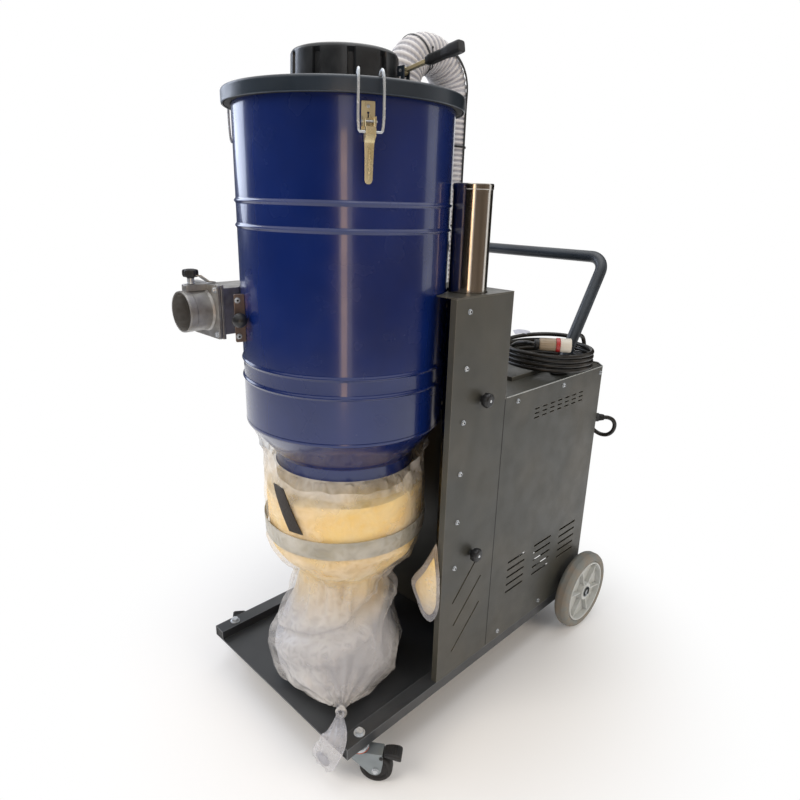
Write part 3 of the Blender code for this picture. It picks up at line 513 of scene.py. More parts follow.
CHARCOAL = PowderCoat("charcoal_powder_coat", "#393a36", "#4a473e", "#757268")
# a pale coat for the rod along the cabinet's top edge: a painted highlight where the charcoal edge
# catches light
EDGE_HIGHLIGHT_COAT = PowderCoat("bright_hem_coat", "#8b908f", "#a3a7a5", "#c3c7c6", 0.3)
TRAY_COAT = PowderCoat("chassis_powder_coat", "#2d2f32", "#3d3f41", "#7d8186", 0.38)
GUNMETAL = PowderCoat("gunmetal_powder_coat", "#1f2730", "#2b343e", "#4f5b68", 0.34, 1.8)
SLATE = PowderCoat("slate_handle_coat", "#20272f", "#2d363f", "#46515c", 0.32, 1.2)
BLUE = StoveEnamel("blue_stove_enamel")
YELLOW_ZINC = PlatedSteel("yellow_zinc_plate", "#d6c9a4", "#bfab70", 0.26)
BRIGHT_ZINC = PlatedSteel("clear_zinc_plate", "#ccd1d6", "#a9b0b6", 0.24)
GREY_ZINC = PlatedSteel("grey_zinc_plate", "#8f979b", "#737a7d", 0.34)
BROWN_STEEL = PlatedSteel("browned_steel", "#7b6a60", "#5f5149", 0.36)
STAINLESS = DrawnSteel("polished_stainless_tube")
CAST = CastAluminium("bare_cast_aluminium")
BLACK_ABS = Moulded("black_abs", "#1b1c1e", "#2a2b2e", 0.38)
SATIN_ABS = Moulded("satin_black_abs", "#1b1d20", "#2b2e31", 0.34, 1.6, 0.04, 0.15)
BLACK_NYLON = Moulded("black_nylon", "#17181a", "#2b2a29", 0.5, 2.2, 0.25)
# near-black for the axle clips, and for the flat discs that paint the shade in screw sockets
DARK = Moulded("shadow_black", "#08090a", "#0d0e0f", 0.8)
CREAM_PP = Moulded("cream_polypropylene", "#c6caca", "#b0b2ac", 0.46, 2.0, 0.05)
RED_PLASTIC = Moulded("red_switch_plastic", "#b3201d", "#9a1a18", 0.3, 1.0, 0.02, 0.3)
GREEN_PLASTIC = Moulded("green_switch_plastic", "#1d8a3c", "#177534", 0.3, 1.0, 0.02, 0.3)
YELLOW_PLASTIC = Moulded("yellow_switch_plastic", "#dcb42a", "#cba424", 0.35)
BEIGE_PLASTIC = Moulded("beige_plug_plastic", "#a3927b", "#8f7f6a", 0.4)
CREAM_PLASTIC = Moulded("cream_plug_plastic", "#ddd8cc", "#cbc5b7", 0.4)
ORANGE_SEAL = Moulded("orange_seal_rubber", "#c8501f", "#a9421b", 0.5)
TYRE = Rubber("grey_filled_rubber", "#7d807d", "#8c8071", 0.68)
GASKET = Rubber("black_gasket_rubber", "#141414", "#232323", 0.6)
CORD_RUBBER = Rubber("black_cord_rubber", "#131312", "#2e2922", 0.36, 22)
FILM = PolytheneFilm("milky_polythene_film")
CLEAR_FILM = PolytheneFilm("clear_polythene_film", "#c9cad3", "#d9b98a", (0.5, 0.02, 0.16),
    (0.12, 0.5), 42)
BAND = PolytheneFilm("olive_vinyl_band", "#83837c", "#8e8466", (0.5, 0.1, 0.1), (0.86, 0.97), 60)
DUST = FineDust("fine_concrete_dust")
HOSE_VINYL = RibbedVinyl("ribbed_clear_vinyl")
NYLON_WEB = Webbing("brown_nylon_webbing")
FELT = Felt("polyester_felt")
TAG_PAPER = Felt("white_tag_card", "#dfe0ea", "#c9cbd8")


# ---- meshes -------------------------------------------------------------------------
def link(name: str, data: Any) -> Object:
    """Make an object at the origin and link it to the scene."""
    obj = bpy.data.objects.new(name, data)
    bpy.context.scene.collection.objects.link(obj)
    return obj


def evaluated(obj: Object) -> Mesh:
    """Return the plain mesh that an object's modifiers and nodes make of it."""
    bpy.context.view_layer.update()
    graph = bpy.context.evaluated_depsgraph_get()
    return bpy.data.meshes.new_from_object(obj.evaluated_get(graph))


def heal(mesh: Mesh, near: float = 1e-6) -> None:
    """Merge a mesh's points that are nearer than a distance, and turn its faces outwards."""
    shell = bmesh.new()
    shell.from_mesh(mesh)
    bmesh.ops.remove_doubles(shell, verts=shell.verts, dist=near)
    bmesh.ops.recalc_face_normals(shell, faces=shell.faces)
    shell.to_mesh(mesh)
    shell.free()


def shade(mesh: Mesh, crease: float = 35.0) -> None:
    """Shade a mesh smooth, with its edges sharp past an angle in degrees."""
    mesh.shade_smooth()
    mesh.set_sharp_from_angle(angle=radians(crease))


def make(name: str, verts: Iterable[Point], faces: Iterable[Sequence[int]], finish: Finish,
        crease: float = 35.0, place: Matrix | None = None) -> Object:
    """Make an object at the origin from points and faces, with its faces pointing outwards.

    Args:
        name: The piece's name.
        verts: Its points in metres.
        faces: Its faces as point numbers.
        finish: Its finish.
        crease: The angle in degrees past which an edge is sharp.
        place: Where the points go.

    Returns:
        The object, linked to the scene.
    """
    mesh = bpy.data.meshes.new(name)
    mesh.from_pydata([tuple(v) for v in verts], [], [tuple(f) for f in faces])
    if place is not None:
        mesh.transform(place)
    heal(mesh)
    return show(name, mesh, finish.material(), crease)


def show(name: str, mesh: Mesh, material: Material, crease: float = 35.0) -> Object:
    """Link a mesh to the scene in one material, shaded smooth with its edges sharp."""
    mesh.materials.clear()
    mesh.materials.append(material)
    shade(mesh, crease)
    return link(name, mesh)


def rounded(points: Sequence[Point], radius: float, steps: int = 3,
        closed: bool = False) -> list[Vector]:
    """Round the corners of a line of points.

    Args:
        points: The corners, in two or three dimensions.
        radius: The radius of the corners, which short edges make smaller.
        steps: The number of points in a corner, less one.
        closed: Whether the line joins its start.

    Returns:
        The new points.
    """
    pts = [Vector(p) for p in points]
    out: list[Vector] = []
    for k, here in enumerate(pts):
        if not closed and k in (0, len(pts) - 1):
            out.append(here)
            continue
        before, after = pts[k - 1] - here, pts[(k + 1) % len(pts)] - here
        reach = min(radius, before.length * 0.45, after.length * 0.45)
        a, b = here + before.normalized() * reach, here + after.normalized() * reach
        for n in range(steps + 1):
            t = n / steps
            out.append(a * (1 - t) ** 2 + here * 2 * t * (1 - t) + b * t * t)
    return out


def lathe(name: str, profile: Sequence[Point], finish: Finish, place: Matrix | None = None,
        steps: int = 96, ring: bool = False,
        wave: Callable[[float, float, float], float] | None = None, crease: float = 35.0) -> Object:
    """Turn a profile of (radius, height) round Z.

    Args:
        name: The piece's name.
        profile: The profile's points.
        finish: The piece's finish.
        place: Where the piece goes.
        steps: The number of sides.
        ring: Whether the profile is closed, so that the piece has a bore.
        wave: Gives a new radius for (radius, height, angle).
        crease: The angle of a sharp edge in degrees.

    Returns:
        The object.
    """
    verts: list[Point] = []
    for k in range(steps):
        a = tau * k / steps
        for p in profile:
            r = wave(p[0], p[1], a) if wave else p[0]
            verts.append((r * cos(a), r * sin(a), p[1]))
    n = len(profile)
    faces = []
    for k in range(steps):
        here, after = k * n, (k + 1) % steps * n
        for j in range(n if ring else n - 1):
            i = (j + 1) % n
            face = [here + j, after + j, after + i, here + i]
            if profile[j][0] < 1e-9:
                face = [here + j, after + i, here + i]
            elif profile[i][0] < 1e-9:
                face = [here + j, after + j, here + i]
            faces.append(face)
    return make(name, verts, faces, finish, crease, place)


def lofted(name: str, rings: Sequence[Sequence[Point]], finish: Finish, place: Matrix | None = None,
        crease: float = 35.0, loop: bool = False) -> Object:
    """Join closed rings of points by quads, and close the two ends or join them."""
    n = len(rings[0])
    verts = [p for ring in rings for p in ring]
    rows = len(rings) if loop else len(rings) - 1
    faces = [[i % len(verts) for i in face] for face in tube_faces(rows, n)]
    if not loop:
        faces += [list(range(n))[::-1], [rows * n + j for j in range(n)]]
    return make(name, verts, faces, finish, crease, place)


def oval(half_x: float, half_y: float, corner: float, steps: int = 4) -> list[Vector]:
    """Make a rectangle's outline with round corners, in X and Y."""
    box = [(half_x, half_y), (-half_x, half_y), (-half_x, -half_y), (half_x, -half_y)]
    return rounded(box, corner, steps, closed=True)


def plate(name: str, outlines: Sequence[Sequence[Point]], thickness: float, finish: Finish,
        place: Matrix | None = None, edge: float = 0.0004) -> Object:
    """Make a round-edged plate from Z 0 up, from an outline in X and Y and any holes."""
    curve = bpy.data.curves.new(name, "CURVE")
    curve.dimensions = "2D"
    curve.fill_mode = "BOTH"
    curve.extrude = thickness / 2 - edge
    curve.bevel_depth = edge
    curve.bevel_resolution = 1
    curve.offset = -edge
    for points in outlines:
        spline = curve.splines.new("POLY")
        spline.points.add(len(points) - 1)
        for point, spot in zip(spline.points, points):
            point.co = (spot[0], spot[1], 0.0, 1.0)
        spline.use_cyclic_u = True
    holder = link(name, curve)
    mesh = evaluated(holder)
    bpy.data.objects.remove(holder)
    mesh.transform((place or Matrix.Identity(4)) @ Matrix.Translation((0, 0, thickness / 2)))
    heal(mesh, 2e-6)
    return show(name, mesh, finish.material())


def soften(shell: bmesh.types.BMesh, width: float, steps: int = 2, angle: float = 32.0) -> None:
    """Round a mesh's sharp edges that are long enough to take it."""
    bmesh.ops.remove_doubles(shell, verts=shell.verts, dist=2e-6)
    bmesh.ops.dissolve_limit(shell, angle_limit=radians(1.0), verts=shell.verts, edges=shell.edges)
    sharp = [e for e in shell.edges
        if len(e.link_faces) == 2 and e.calc_face_angle(0.0) > radians(angle)]
    bmesh.ops.bevel(shell, geom=sharp, offset=width, segments=steps, affect="EDGES", profile=0.5,
        clamp_overlap=True, offset_type="OFFSET")


def refine(node: str, finish: Finish, width: float, steps: int = 2) -> Object:
    """Make a piece from a CAD node's shape, with its edges rounded."""
    mesh = bpy.data.objects[node].data.copy()
    shell = bmesh.new()
    shell.from_mesh(mesh)
    soften(shell, width, steps)
    shell.to_mesh(mesh)
    shell.free()
    return show("fine_" + node, mesh, finish.material())


def block(name: str, low: Point, high: Point, finish: Finish, edge: float = 0.001,
        place: Matrix | None = None, steps: int = 3) -> Object:
    """Make a box between two corners with rounded edges."""
    shell = bmesh.new()
    bmesh.ops.create_cube(shell, size=1.0)
    size = Vector(high) - Vector(low)
    bmesh.ops.transform(shell, matrix=Matrix.Translation((Vector(low) + Vector(high)) / 2)
        @ Matrix.Diagonal((*size, 1.0)), verts=shell.verts)
    bmesh.ops.bevel(shell, geom=list(shell.edges), offset=edge, segments=steps, affect="EDGES",
        profile=0.5)
    if place is not None:
        bmesh.ops.transform(shell, matrix=place, verts=shell.verts)
    mesh = bpy.data.meshes.new(name)
    shell.to_mesh(mesh)
    shell.free()
    return show(name, mesh, finish.material())


def apply_modifiers(obj: Object) -> None:
    """Replace an object's mesh with what its modifiers make of it, and remove them."""
    mesh = evaluated(obj)
    obj.modifiers.clear()
    obj.data = mesh


def carve(obj: Object, tool: Object) -> None:
    """Cut a tool from an object and remove the tool."""
    cut = obj.modifiers.new("carve", "BOOLEAN")
    cut.object = tool
    cut.operation = "DIFFERENCE"
    cut.solver = "EXACT"
    apply_modifiers(obj)
    shade(obj.data)
    bpy.data.objects.remove(tool)


def even(obj: Object) -> None:
    """Weight the normals by area, so that flat faces shade flat up to their round edges."""
    obj.modifiers.new("even", "WEIGHTED_NORMAL").keep_sharp = True
    apply_modifiers(obj)


def merge(name: str, pieces: Sequence[Object]) -> Object:
    """Join several pieces of one finish into one object."""
    shell = bmesh.new()
    for piece in pieces:
        shell.from_mesh(piece.data)
    mesh = bpy.data.meshes.new(name)
    shell.to_mesh(mesh)
    shell.free()
    material = pieces[0].data.materials[0]
    for piece in pieces:
        bpy.data.objects.remove(piece)
    return show(name, mesh, material)


def tube_faces(rows: int, sides: int) -> list[list[int]]:
    """Return the quads between rows + 1 closed rings of points."""
    return [[k * sides + j, k * sides + (j + 1) % sides, (k + 1) * sides + (j + 1) % sides,
        (k + 1) * sides + j] for k in range(rows) for j in range(sides)]


def tube(rows: int, sides: int, at: Callable[[float, float], Point]) -> tuple[list[Point],
        list[list[int]]]:
    """Return an open tube's points and quads; at gives the point at a share and an angle."""
    verts = [tuple(at(k / rows, tau * j / sides)) for k in range(rows + 1) for j in range(sides)]
    return verts, tube_faces(rows, sides)


def circle(radius: float, steps: int) -> list[tuple[float, float]]:
    """Return the points of a circle round the origin."""
    return [(radius * cos(a), radius * sin(a)) for a in (tau * k / steps for k in range(steps))]


def facing(point: Point, direction: Point) -> Matrix:
    """Return the place whose +Z runs along a direction."""
    turn = Vector((0, 0, 1)).rotation_difference(Vector(direction))
    return Matrix.Translation(point) @ turn.to_matrix().to_4x4()


def catmull(points: Sequence[Point], spacing: float) -> list[Vector]:
    """Return evenly spaced points on a smooth curve through the given ones.

    Args:
        points: The route's own points.
        spacing: The distance between the points returned.

    Returns:
        The points, both ends among them.
    """
    pts = [Vector(p) for p in points]
    pts = [2 * pts[0] - pts[1]] + pts + [2 * pts[-1] - pts[-2]]
    fine: list[Vector] = []
    for a, b, c, d in zip(pts, pts[1:], pts[2:], pts[3:]):
        for k in range(24):
            t = k / 24
            fine.append(0.5 * (2 * b + (c - a) * t + (2 * a - 5 * b + 4 * c - d) * t * t
                + (3 * b - a - 3 * c + d) * t ** 3))
    fine.append(pts[-2])
    far = [0.0]
    for a, b in zip(fine, fine[1:]):
        far.append(far[-1] + (b - a).length)
    count = max(2, ceil(far[-1] / spacing))
    out, k = [], 0
    for n in range(count + 1):
        goal = far[-1] * n / count
        while k < len(fine) - 2 and far[k + 1] < goal:
            k += 1
        out.append(fine[k].lerp(fine[k + 1], (goal - far[k]) / max(far[k + 1] - far[k], 1e-12)))
    return out


# ---- geometry node trees ------------------------------------------------------------
class Tree:
    """A geometry node tree with named inputs, which ends in Realize Instances and Set Material."""

    def __init__(self, name: str, **numbers: float | int | tuple) -> None:
        """Start a tree with a geometry input, a material input and one input for each number."""
        self.group = bpy.data.node_groups.new(name, "GeometryNodeTree")
        face = self.group.interface
        self.identifiers: dict[str, str] = {}
        face.new_socket("Geometry", in_out="INPUT", socket_type="NodeSocketGeometry")
        for key, value in numbers.items():
            kind = "NodeSocketInt" if isinstance(value, int) else "NodeSocketFloat"
            socket = face.new_socket(key.replace("_", " "), in_out="INPUT", socket_type=kind)
            socket.default_value = value
            self.identifiers[key] = socket.identifier
        socket = face.new_socket("Material", in_out="INPUT", socket_type="NodeSocketMaterial")
        self.identifiers["Material"] = socket.identifier
        face.new_socket("Geometry", in_out="OUTPUT", socket_type="NodeSocketGeometry")
        self.start = self.add("NodeGroupInput")

    def add(self, kind: str, settings: dict[str, Any] | None = None,
            inputs: dict[Any, Any] | None = None) -> Node:
        """Add a node to the tree."""
        return add(self.group, kind, settings, inputs)

    def input(self, name: str) -> NodeSocket:
        """Return the group's own input of that name."""
        return self.start.outputs[name.replace("_", " ")]

    def lift(self, geometry: Any, height: Any) -> Node:
        """Move a geometry up by a height."""
        return self.add("GeometryNodeTransform", inputs={0: geometry,
            "Translation": self.add("ShaderNodeCombineXYZ", inputs={2: height})})

    def facing(self) -> Node:
        """Return the turn that points Z along each point's own way."""
        way = self.add(*FACING, {"Name": "facing"})
        return self.add("FunctionNodeAlignRotationToVector", {"axis": "Z"}, {"Vector": way})

    def place(self, points: Any, shape: Any, turn: Any) -> None:
        """End the tree with a shape on each point."""
        self.end(self.add("GeometryNodeInstanceOnPoints",
            inputs={"Points": points, "Instance": shape, "Rotation": turn}))

    def end(self, geometry: Any) -> None:
        """Realize what was made, give it the material and send it out."""
        real = self.add("GeometryNodeRealizeInstances", inputs={0: geometry})
        dressed = self.add("GeometryNodeSetMaterial",
            inputs={"Geometry": real, "Material": self.input("Material")})
        self.add("NodeGroupOutput", inputs={0: dressed})

    def grow(self, name: str, seed: Mesh | Curve, finish: Finish, crease: float = 35.0,
            **numbers: float | int) -> Object:
        """Run the tree on a mesh or a curve.

        Args:
            name: The new piece's name.
            seed: The tree's input geometry.
            finish: The piece's finish.
            crease: The angle of a sharp edge in degrees.
            numbers: Values for the tree's named inputs.

        Returns:
            A plain mesh object, with no modifier on it.
        """
        holder = link(name + "_seed", seed)
        nodes = holder.modifiers.new("nodes", "NODES")
        nodes.node_group = self.group
        for key, value in numbers.items():
            nodes[self.identifiers[key]] = value
        nodes[self.identifiers["Material"]] = finish.material()
        mesh = evaluated(holder)
        bpy.data.objects.remove(holder)
        heal(mesh)
        return show(name, mesh, finish.material(), crease)


def spots_mesh(name: str, spots: Sequence[Spot], along: Sequence[Point] | None = None) -> Mesh:
    """Make a mesh of loose points, each with the way it faces and the way it runs."""
    mesh = bpy.data.meshes.new(name)
    mesh.from_pydata([tuple(p) for p, _ in spots], [], [])
    ways = {"facing": [d for _, d in spots], "along": along or [(0, 0, 1)] * len(spots)}
    for key, values in ways.items():
        layer = mesh.attributes.new(key, "FLOAT_VECTOR", "POINT")
        for item, value in zip(layer.data, values):
            item.vector = tuple(value)
    return mesh


class Trees:
    """The trees that several sub-assemblies share, each built once."""

    built: ClassVar[dict[str, Tree]] = {}

    @classmethod
    def get(cls, name: str) -> Tree:
        """Return a tree by its name, building it on first use."""
        if name not in cls.built:
            cls.built[name] = getattr(cls, name)()
        return cls.built[name]

    @staticmethod
    def screw() -> Tree:
        """A head with a chamfer on a washer, at each point, turned by a fixed random angle."""
        tree = Tree("screw_heads", Sides=6, Head_radius=0.006, Head_height=0.004,
            Washer_radius=0.008, Washer_height=0.0012, Lift=0.0)
        half = tree.add(*TIMES, {0: tree.input("Washer_height"), 1: 0.5})
        washer = tree.add("GeometryNodeMeshCylinder", inputs={"Vertices": 24,
            "Radius": tree.input("Washer_radius"), "Depth": tree.input("Washer_height")})
        washer = tree.lift(washer, half)
        wall = tree.add(*TIMES, {0: tree.input("Head_height"), 1: 0.75})
        cap = tree.add(*TIMES, {0: tree.input("Head_height"), 1: 0.25})
        body = tree.add("GeometryNodeMeshCone",
            inputs={"Vertices": tree.input("Sides"), "Radius Top": tree.input("Head_radius"),
            "Radius Bottom": tree.input("Head_radius"), "Depth": wall})
        narrow = tree.add(*TIMES, {0: tree.input("Head_radius"), 1: 0.84})
        top = tree.add("GeometryNodeMeshCone", inputs={"Vertices": tree.input("Sides"),
            "Radius Top": narrow, "Radius Bottom": tree.input("Head_radius"), "Depth": cap})
        body = tree.lift(body, tree.input("Washer_height"))
        top = tree.lift(top, tree.add(*PLUS, {0: tree.input("Washer_height"), 1: wall}))
        both = tree.add("GeometryNodeJoinGeometry")
        for part in (washer, body, top):
            tree.group.links.new(part.outputs[0], both.inputs[0])
        spin = tree.add("FunctionNodeRandomValue", {"data_type": "FLOAT"},
            {2: 0.0, 3: tau, "Seed": 7})
        spin = tree.add("FunctionNodeAxisAngleToRotation", inputs={"Angle": spin.outputs[1]})
        turn = tree.add("FunctionNodeRotateRotation", {"rotation_space": "LOCAL"},
            {0: tree.facing(), 1: spin})
        tree.place(tree.input("Geometry"), tree.lift(both, tree.input("Lift")), turn)
        return tree

    @staticmethod
    def slot() -> Tree:
        """A prism with round ends at each point, which cuts a slot through a sheet."""
        tree = Tree("slots", Length=0.02, Height=0.004, Depth=0.02)
        shape = tree.add("GeometryNodeCurvePrimitiveQuadrilateral",
            inputs={"Width": tree.input("Length"), "Height": tree.input("Height")})
        radius = tree.add(*TIMES, {0: tree.input("Height"), 1: 0.48})
        shape = tree.add("GeometryNodeFilletCurve", {"mode": "POLY"},
            {"Curve": shape, "Count": 4, "Radius": radius})
        half = tree.add(*TIMES, {0: tree.input("Depth"), 1: 0.5})
        back = tree.add(*TIMES, {0: tree.input("Depth"), 1: -0.5})
        ends = [tree.add("ShaderNodeCombineXYZ", inputs={2: v}) for v in (back, half)]
        line = tree.add("GeometryNodeCurvePrimitiveLine", inputs={"Start": ends[0], "End": ends[1]})
        prism = tree.add("GeometryNodeCurveToMesh",
            inputs={"Curve": line, "Profile Curve": shape, "Fill Caps": True})
        run = tree.add(*FACING, {"Name": "along"})
        turn = tree.add("FunctionNodeAlignRotationToVector", {"axis": "X", "pivot_axis": "Z"},
            {"Rotation": tree.facing(), "Vector": run})
        tree.place(tree.input("Geometry"), prism, turn)
        return tree

    @staticmethod
    def hose() -> Tree:
        """A ribbed tube along a curve; the rib attribute is 1 on a rib and 0 between two."""
        tree = Tree("ribbed_hose", Radius=0.04, Rib_depth=0.002, Pitch=0.012, Sides=48)
        step = tree.add(*TIMES, {0: tree.input("Pitch"), 1: 0.125})
        fine = tree.add("GeometryNodeResampleCurve", {"mode": "LENGTH"},
            {0: tree.input("Geometry"), "Length": step})
        far = tree.add("GeometryNodeSplineParameter").outputs["Length"]
        turns = tree.add("ShaderNodeMath", {"operation": "DIVIDE"},
            {0: far, 1: tree.input("Pitch")})
        angle = tree.add(*TIMES, {0: turns, 1: tau})
        swing = tree.add("ShaderNodeMath", {"operation": "COSINE"}, {0: angle})
        share = tree.add("ShaderNodeMapRange", inputs={"Value": swing, "From Min": -1.0,
            "From Max": 1.0, "To Min": 0.0, "To Max": 1.0})
        marked = tree.add("GeometryNodeStoreNamedAttribute", {"data_type": "FLOAT",
            "domain": "POINT"}, {"Geometry": fine, "Name": "rib", "Value": share.outputs[0]})
        depth = tree.add(*TIMES, {0: share.outputs[0], 1: tree.input("Rib_depth")})
        radius = tree.add(*PLUS, {0: depth, 1: tree.input("Radius")})
        ring = tree.add("GeometryNodeCurvePrimitiveCircle",
            inputs={"Resolution": tree.input("Sides"), "Radius": 1.0})
        tree.end(tree.add("GeometryNodeCurveToMesh",
            inputs={"Curve": marked, "Profile Curve": ring, "Scale": radius, "Fill Caps": False}))
        return tree

    @staticmethod
    def rod() -> Tree:
        """A round rod along a curve, with its ends closed."""
        tree = Tree("rods", Radius=0.002, Sides=16)
        ring = tree.add("GeometryNodeCurvePrimitiveCircle",
            inputs={"Resolution": tree.input("Sides"), "Radius": tree.input("Radius")})
        tree.end(tree.add("GeometryNodeCurveToMesh",
            inputs={"Curve": tree.input("Geometry"), "Profile Curve": ring, "Fill Caps": True}))
        return tree

    @staticmethod
    def wheel() -> Tree:
        """Copies of a shape, evenly spaced round Z."""
        tree = Tree("round_copies", Count=6, Phase=0.0)
        points = tree.add("GeometryNodePoints", inputs={"Count": tree.input("Count")})
        step = tree.add("ShaderNodeMath", {"operation": "DIVIDE"}, {0: tau, 1: tree.input("Count")})
        number = tree.add("GeometryNodeInputIndex")
        angle = tree.add("ShaderNodeMath", {"operation": "MULTIPLY_ADD"},
            {0: number, 1: step, 2: tree.input("Phase")})
        turn = tree.add("ShaderNodeCombineXYZ", inputs={2: angle})
        tree.place(points, tree.input("Geometry"), turn)
        return tree


def line_curve(name: str, points: Sequence[Point], closed: bool = False) -> Curve:
    """Make a curve with one straight-sided spline."""
    curve = bpy.data.curves.new(name, "CURVE")
    curve.dimensions = "3D"
    spline = curve.splines.new("POLY")
    spline.points.add(len(points) - 1)
    for point, place in zip(spline.points, points):
        point.co = (*place, 1.0)
    spline.use_cyclic_u = closed
    return curve


def rod(name: str, points: Sequence[Point], radius: float, finish: Finish, sides: int = 16,
        closed: bool = False) -> Object:
    """Make a round rod or wire along points."""
    return Trees.get("rod").grow(name, line_curve(name, points, closed), finish, 50.0,
        Radius=radius, Sides=sides)


@dataclass(frozen=True)
class Fastener:
    """The sizes of one kind of screw or bolt head, in metres."""

    sides: int
    radius: float
    height: float
    washer: float
    washer_height: float = 0.0012

    def fit(self, name: str, spots: Sequence[Spot], finish: Finish, lift: float = 0.0) -> Object:
        """Put a head at each spot, which is a point and the way it faces."""
        return Trees.get("screw").grow(name, spots_mesh(name, spots), finish, 20.0,
            Sides=self.sides, Head_radius=self.radius, Head_height=self.height,
            Washer_radius=self.washer, Washer_height=self.washer_height, Lift=lift)


M12_HEX = Fastener(6, 0.01, 0.0075, 0.013, 0.0018)
M6_HEX = Fastener(6, 0.0058, 0.0042, 0.0078)
M5_PAN = Fastener(24, 0.0048, 0.0034, 0.0062, 0.0008)
# a flat disc laid on a screw head in near-black: painted shade in its socket, with no recess cut
SOCKET_SHADE_DISC = Fastener(6, 0.0024, 0.0004, 0.0001, 0.0001)
SMALL_RIVET = Fastener(16, 0.0028, 0.0016, 0.003, 0.0004)


@dataclass
class Assembly:
    """A group of pieces that belong together on the machine."""

    def build(self) -> None:
        """Build and dress the group's pieces; each group has its own."""
        raise NotImplementedError

    def keep(self, obj: Object, body: str = "root", slot: str = "", stands_for: Sequence[str] = (),
            hard: bool = True) -> Object:
        """Let a piece ride on a body, and hide the CAD nodes that it stands for.

        Args:
            obj: The finished piece.
            body: The CAD body that it moves with.
            slot: Not used.
            stands_for: The CAD nodes that it replaces.
            hard: Whether it is a hard piece, with flat faces between round edges.

        Returns:
            The piece.
        """
        if hard:
            even(obj)
        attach(obj, body)
        if stands_for:
            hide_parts(*stands_for)
        LOG.info("%s rides on %s", obj.name, body)
        return obj

    def replica(self, node: str, finish: Finish, width: float, slot: str = "charcoal_coat",
            body: str = "root", steps: int = 2) -> None:
        """Keep a finer copy of a CAD node, with its edges rounded."""
        self.keep(refine(node, finish, width, steps), body, slot, [node])

    def dress(self, node: str, finish: Finish) -> None:
        """Give a CAD node that stays a finish."""
        obj = bpy.data.objects[node]
        obj.data.materials.clear()
        obj.data.materials.append(finish.material())
        LOG.info("%s keeps its CAD shape", node)

    def screws(self, name: str, spots: Sequence[Spot], body: str = "root", head: Fastener = M5_PAN,
            finish: Finish = BRIGHT_ZINC, socket: bool = True) -> None:
        """Fit screws, and unless socket is off, a flat black disc on each head as painted shade in
        its socket.
        """
        self.keep(head.fit(name, spots, finish), body)
        if socket:
            # painted shade: a black disc on each head stands for the shadow in its socket
            self.keep(SOCKET_SHADE_DISC.fit(name + "_sockets", spots, DARK,
                head.height + head.washer_height - 0.0001), body)


# ---- shared places ------------------------------------------------------------------
class Side(Enum):
    """The machine's two sides, with the sign of X on each."""

    RIGHT = 1
    LEFT = -1

    @property
    def word(self) -> str:
        """Return the side's word in a node's name."""
        return self.name.lower()


@dataclass(frozen=True)
class Plan:
    """Places that several sub-assemblies share, as the CAD has them."""

    tray_y: float = -0.4775
    half_w: float = 0.2815
    rail_top: float = 0.122
    king_x: float = 0.264
    king_y: float = -0.4275
    column_back: float = 0.0065
    cabinet_back: float = 0.5065
    cabinet_top: float = 0.822
    post_y: float = -0.0865
    drum_y: float = -0.2465
    drum_r: float = 0.229
    lid_top: float = 1.457


PLAN = Plan()
DRUM_AXIS = Matrix.Translation((0, PLAN.drum_y, 0))


# ---- chassis ------------------------------------------------------------------------
@dataclass
class Chassis(Assembly):
    """The tray with its side rails, and the bolts of the casters on them."""

    plug: float = 0.0015

    def build(self) -> None:
        """Build the tray, the rails' end plugs and the bolts."""
        self.replica("chassis_tray", TRAY_COAT, 0.0014)
        plugs = []
        back = PLAN.cabinet_back
        for side in Side:
            low_x, high_x = sorted((side.value * 0.247, side.value * 0.279))
            for number, y in enumerate((PLAN.tray_y + 0.001, back - 0.009)):
                plugs.append(block(f"rail_plug_{side.word}_{number}", (low_x, y, 0.0968),
                    (high_x, y + 0.008, 0.1192), BLACK_NYLON, self.plug))
        self.keep(merge("rail_plugs", plugs), slot="black_plastic")
        bolts = [((s.value * PLAN.king_x, PLAN.king_y, PLAN.rail_top + 0.0001), (0, 0, 1))
            for s in Side]
        self.keep(M12_HEX.fit("caster_bolts", bolts, BRIGHT_ZINC))


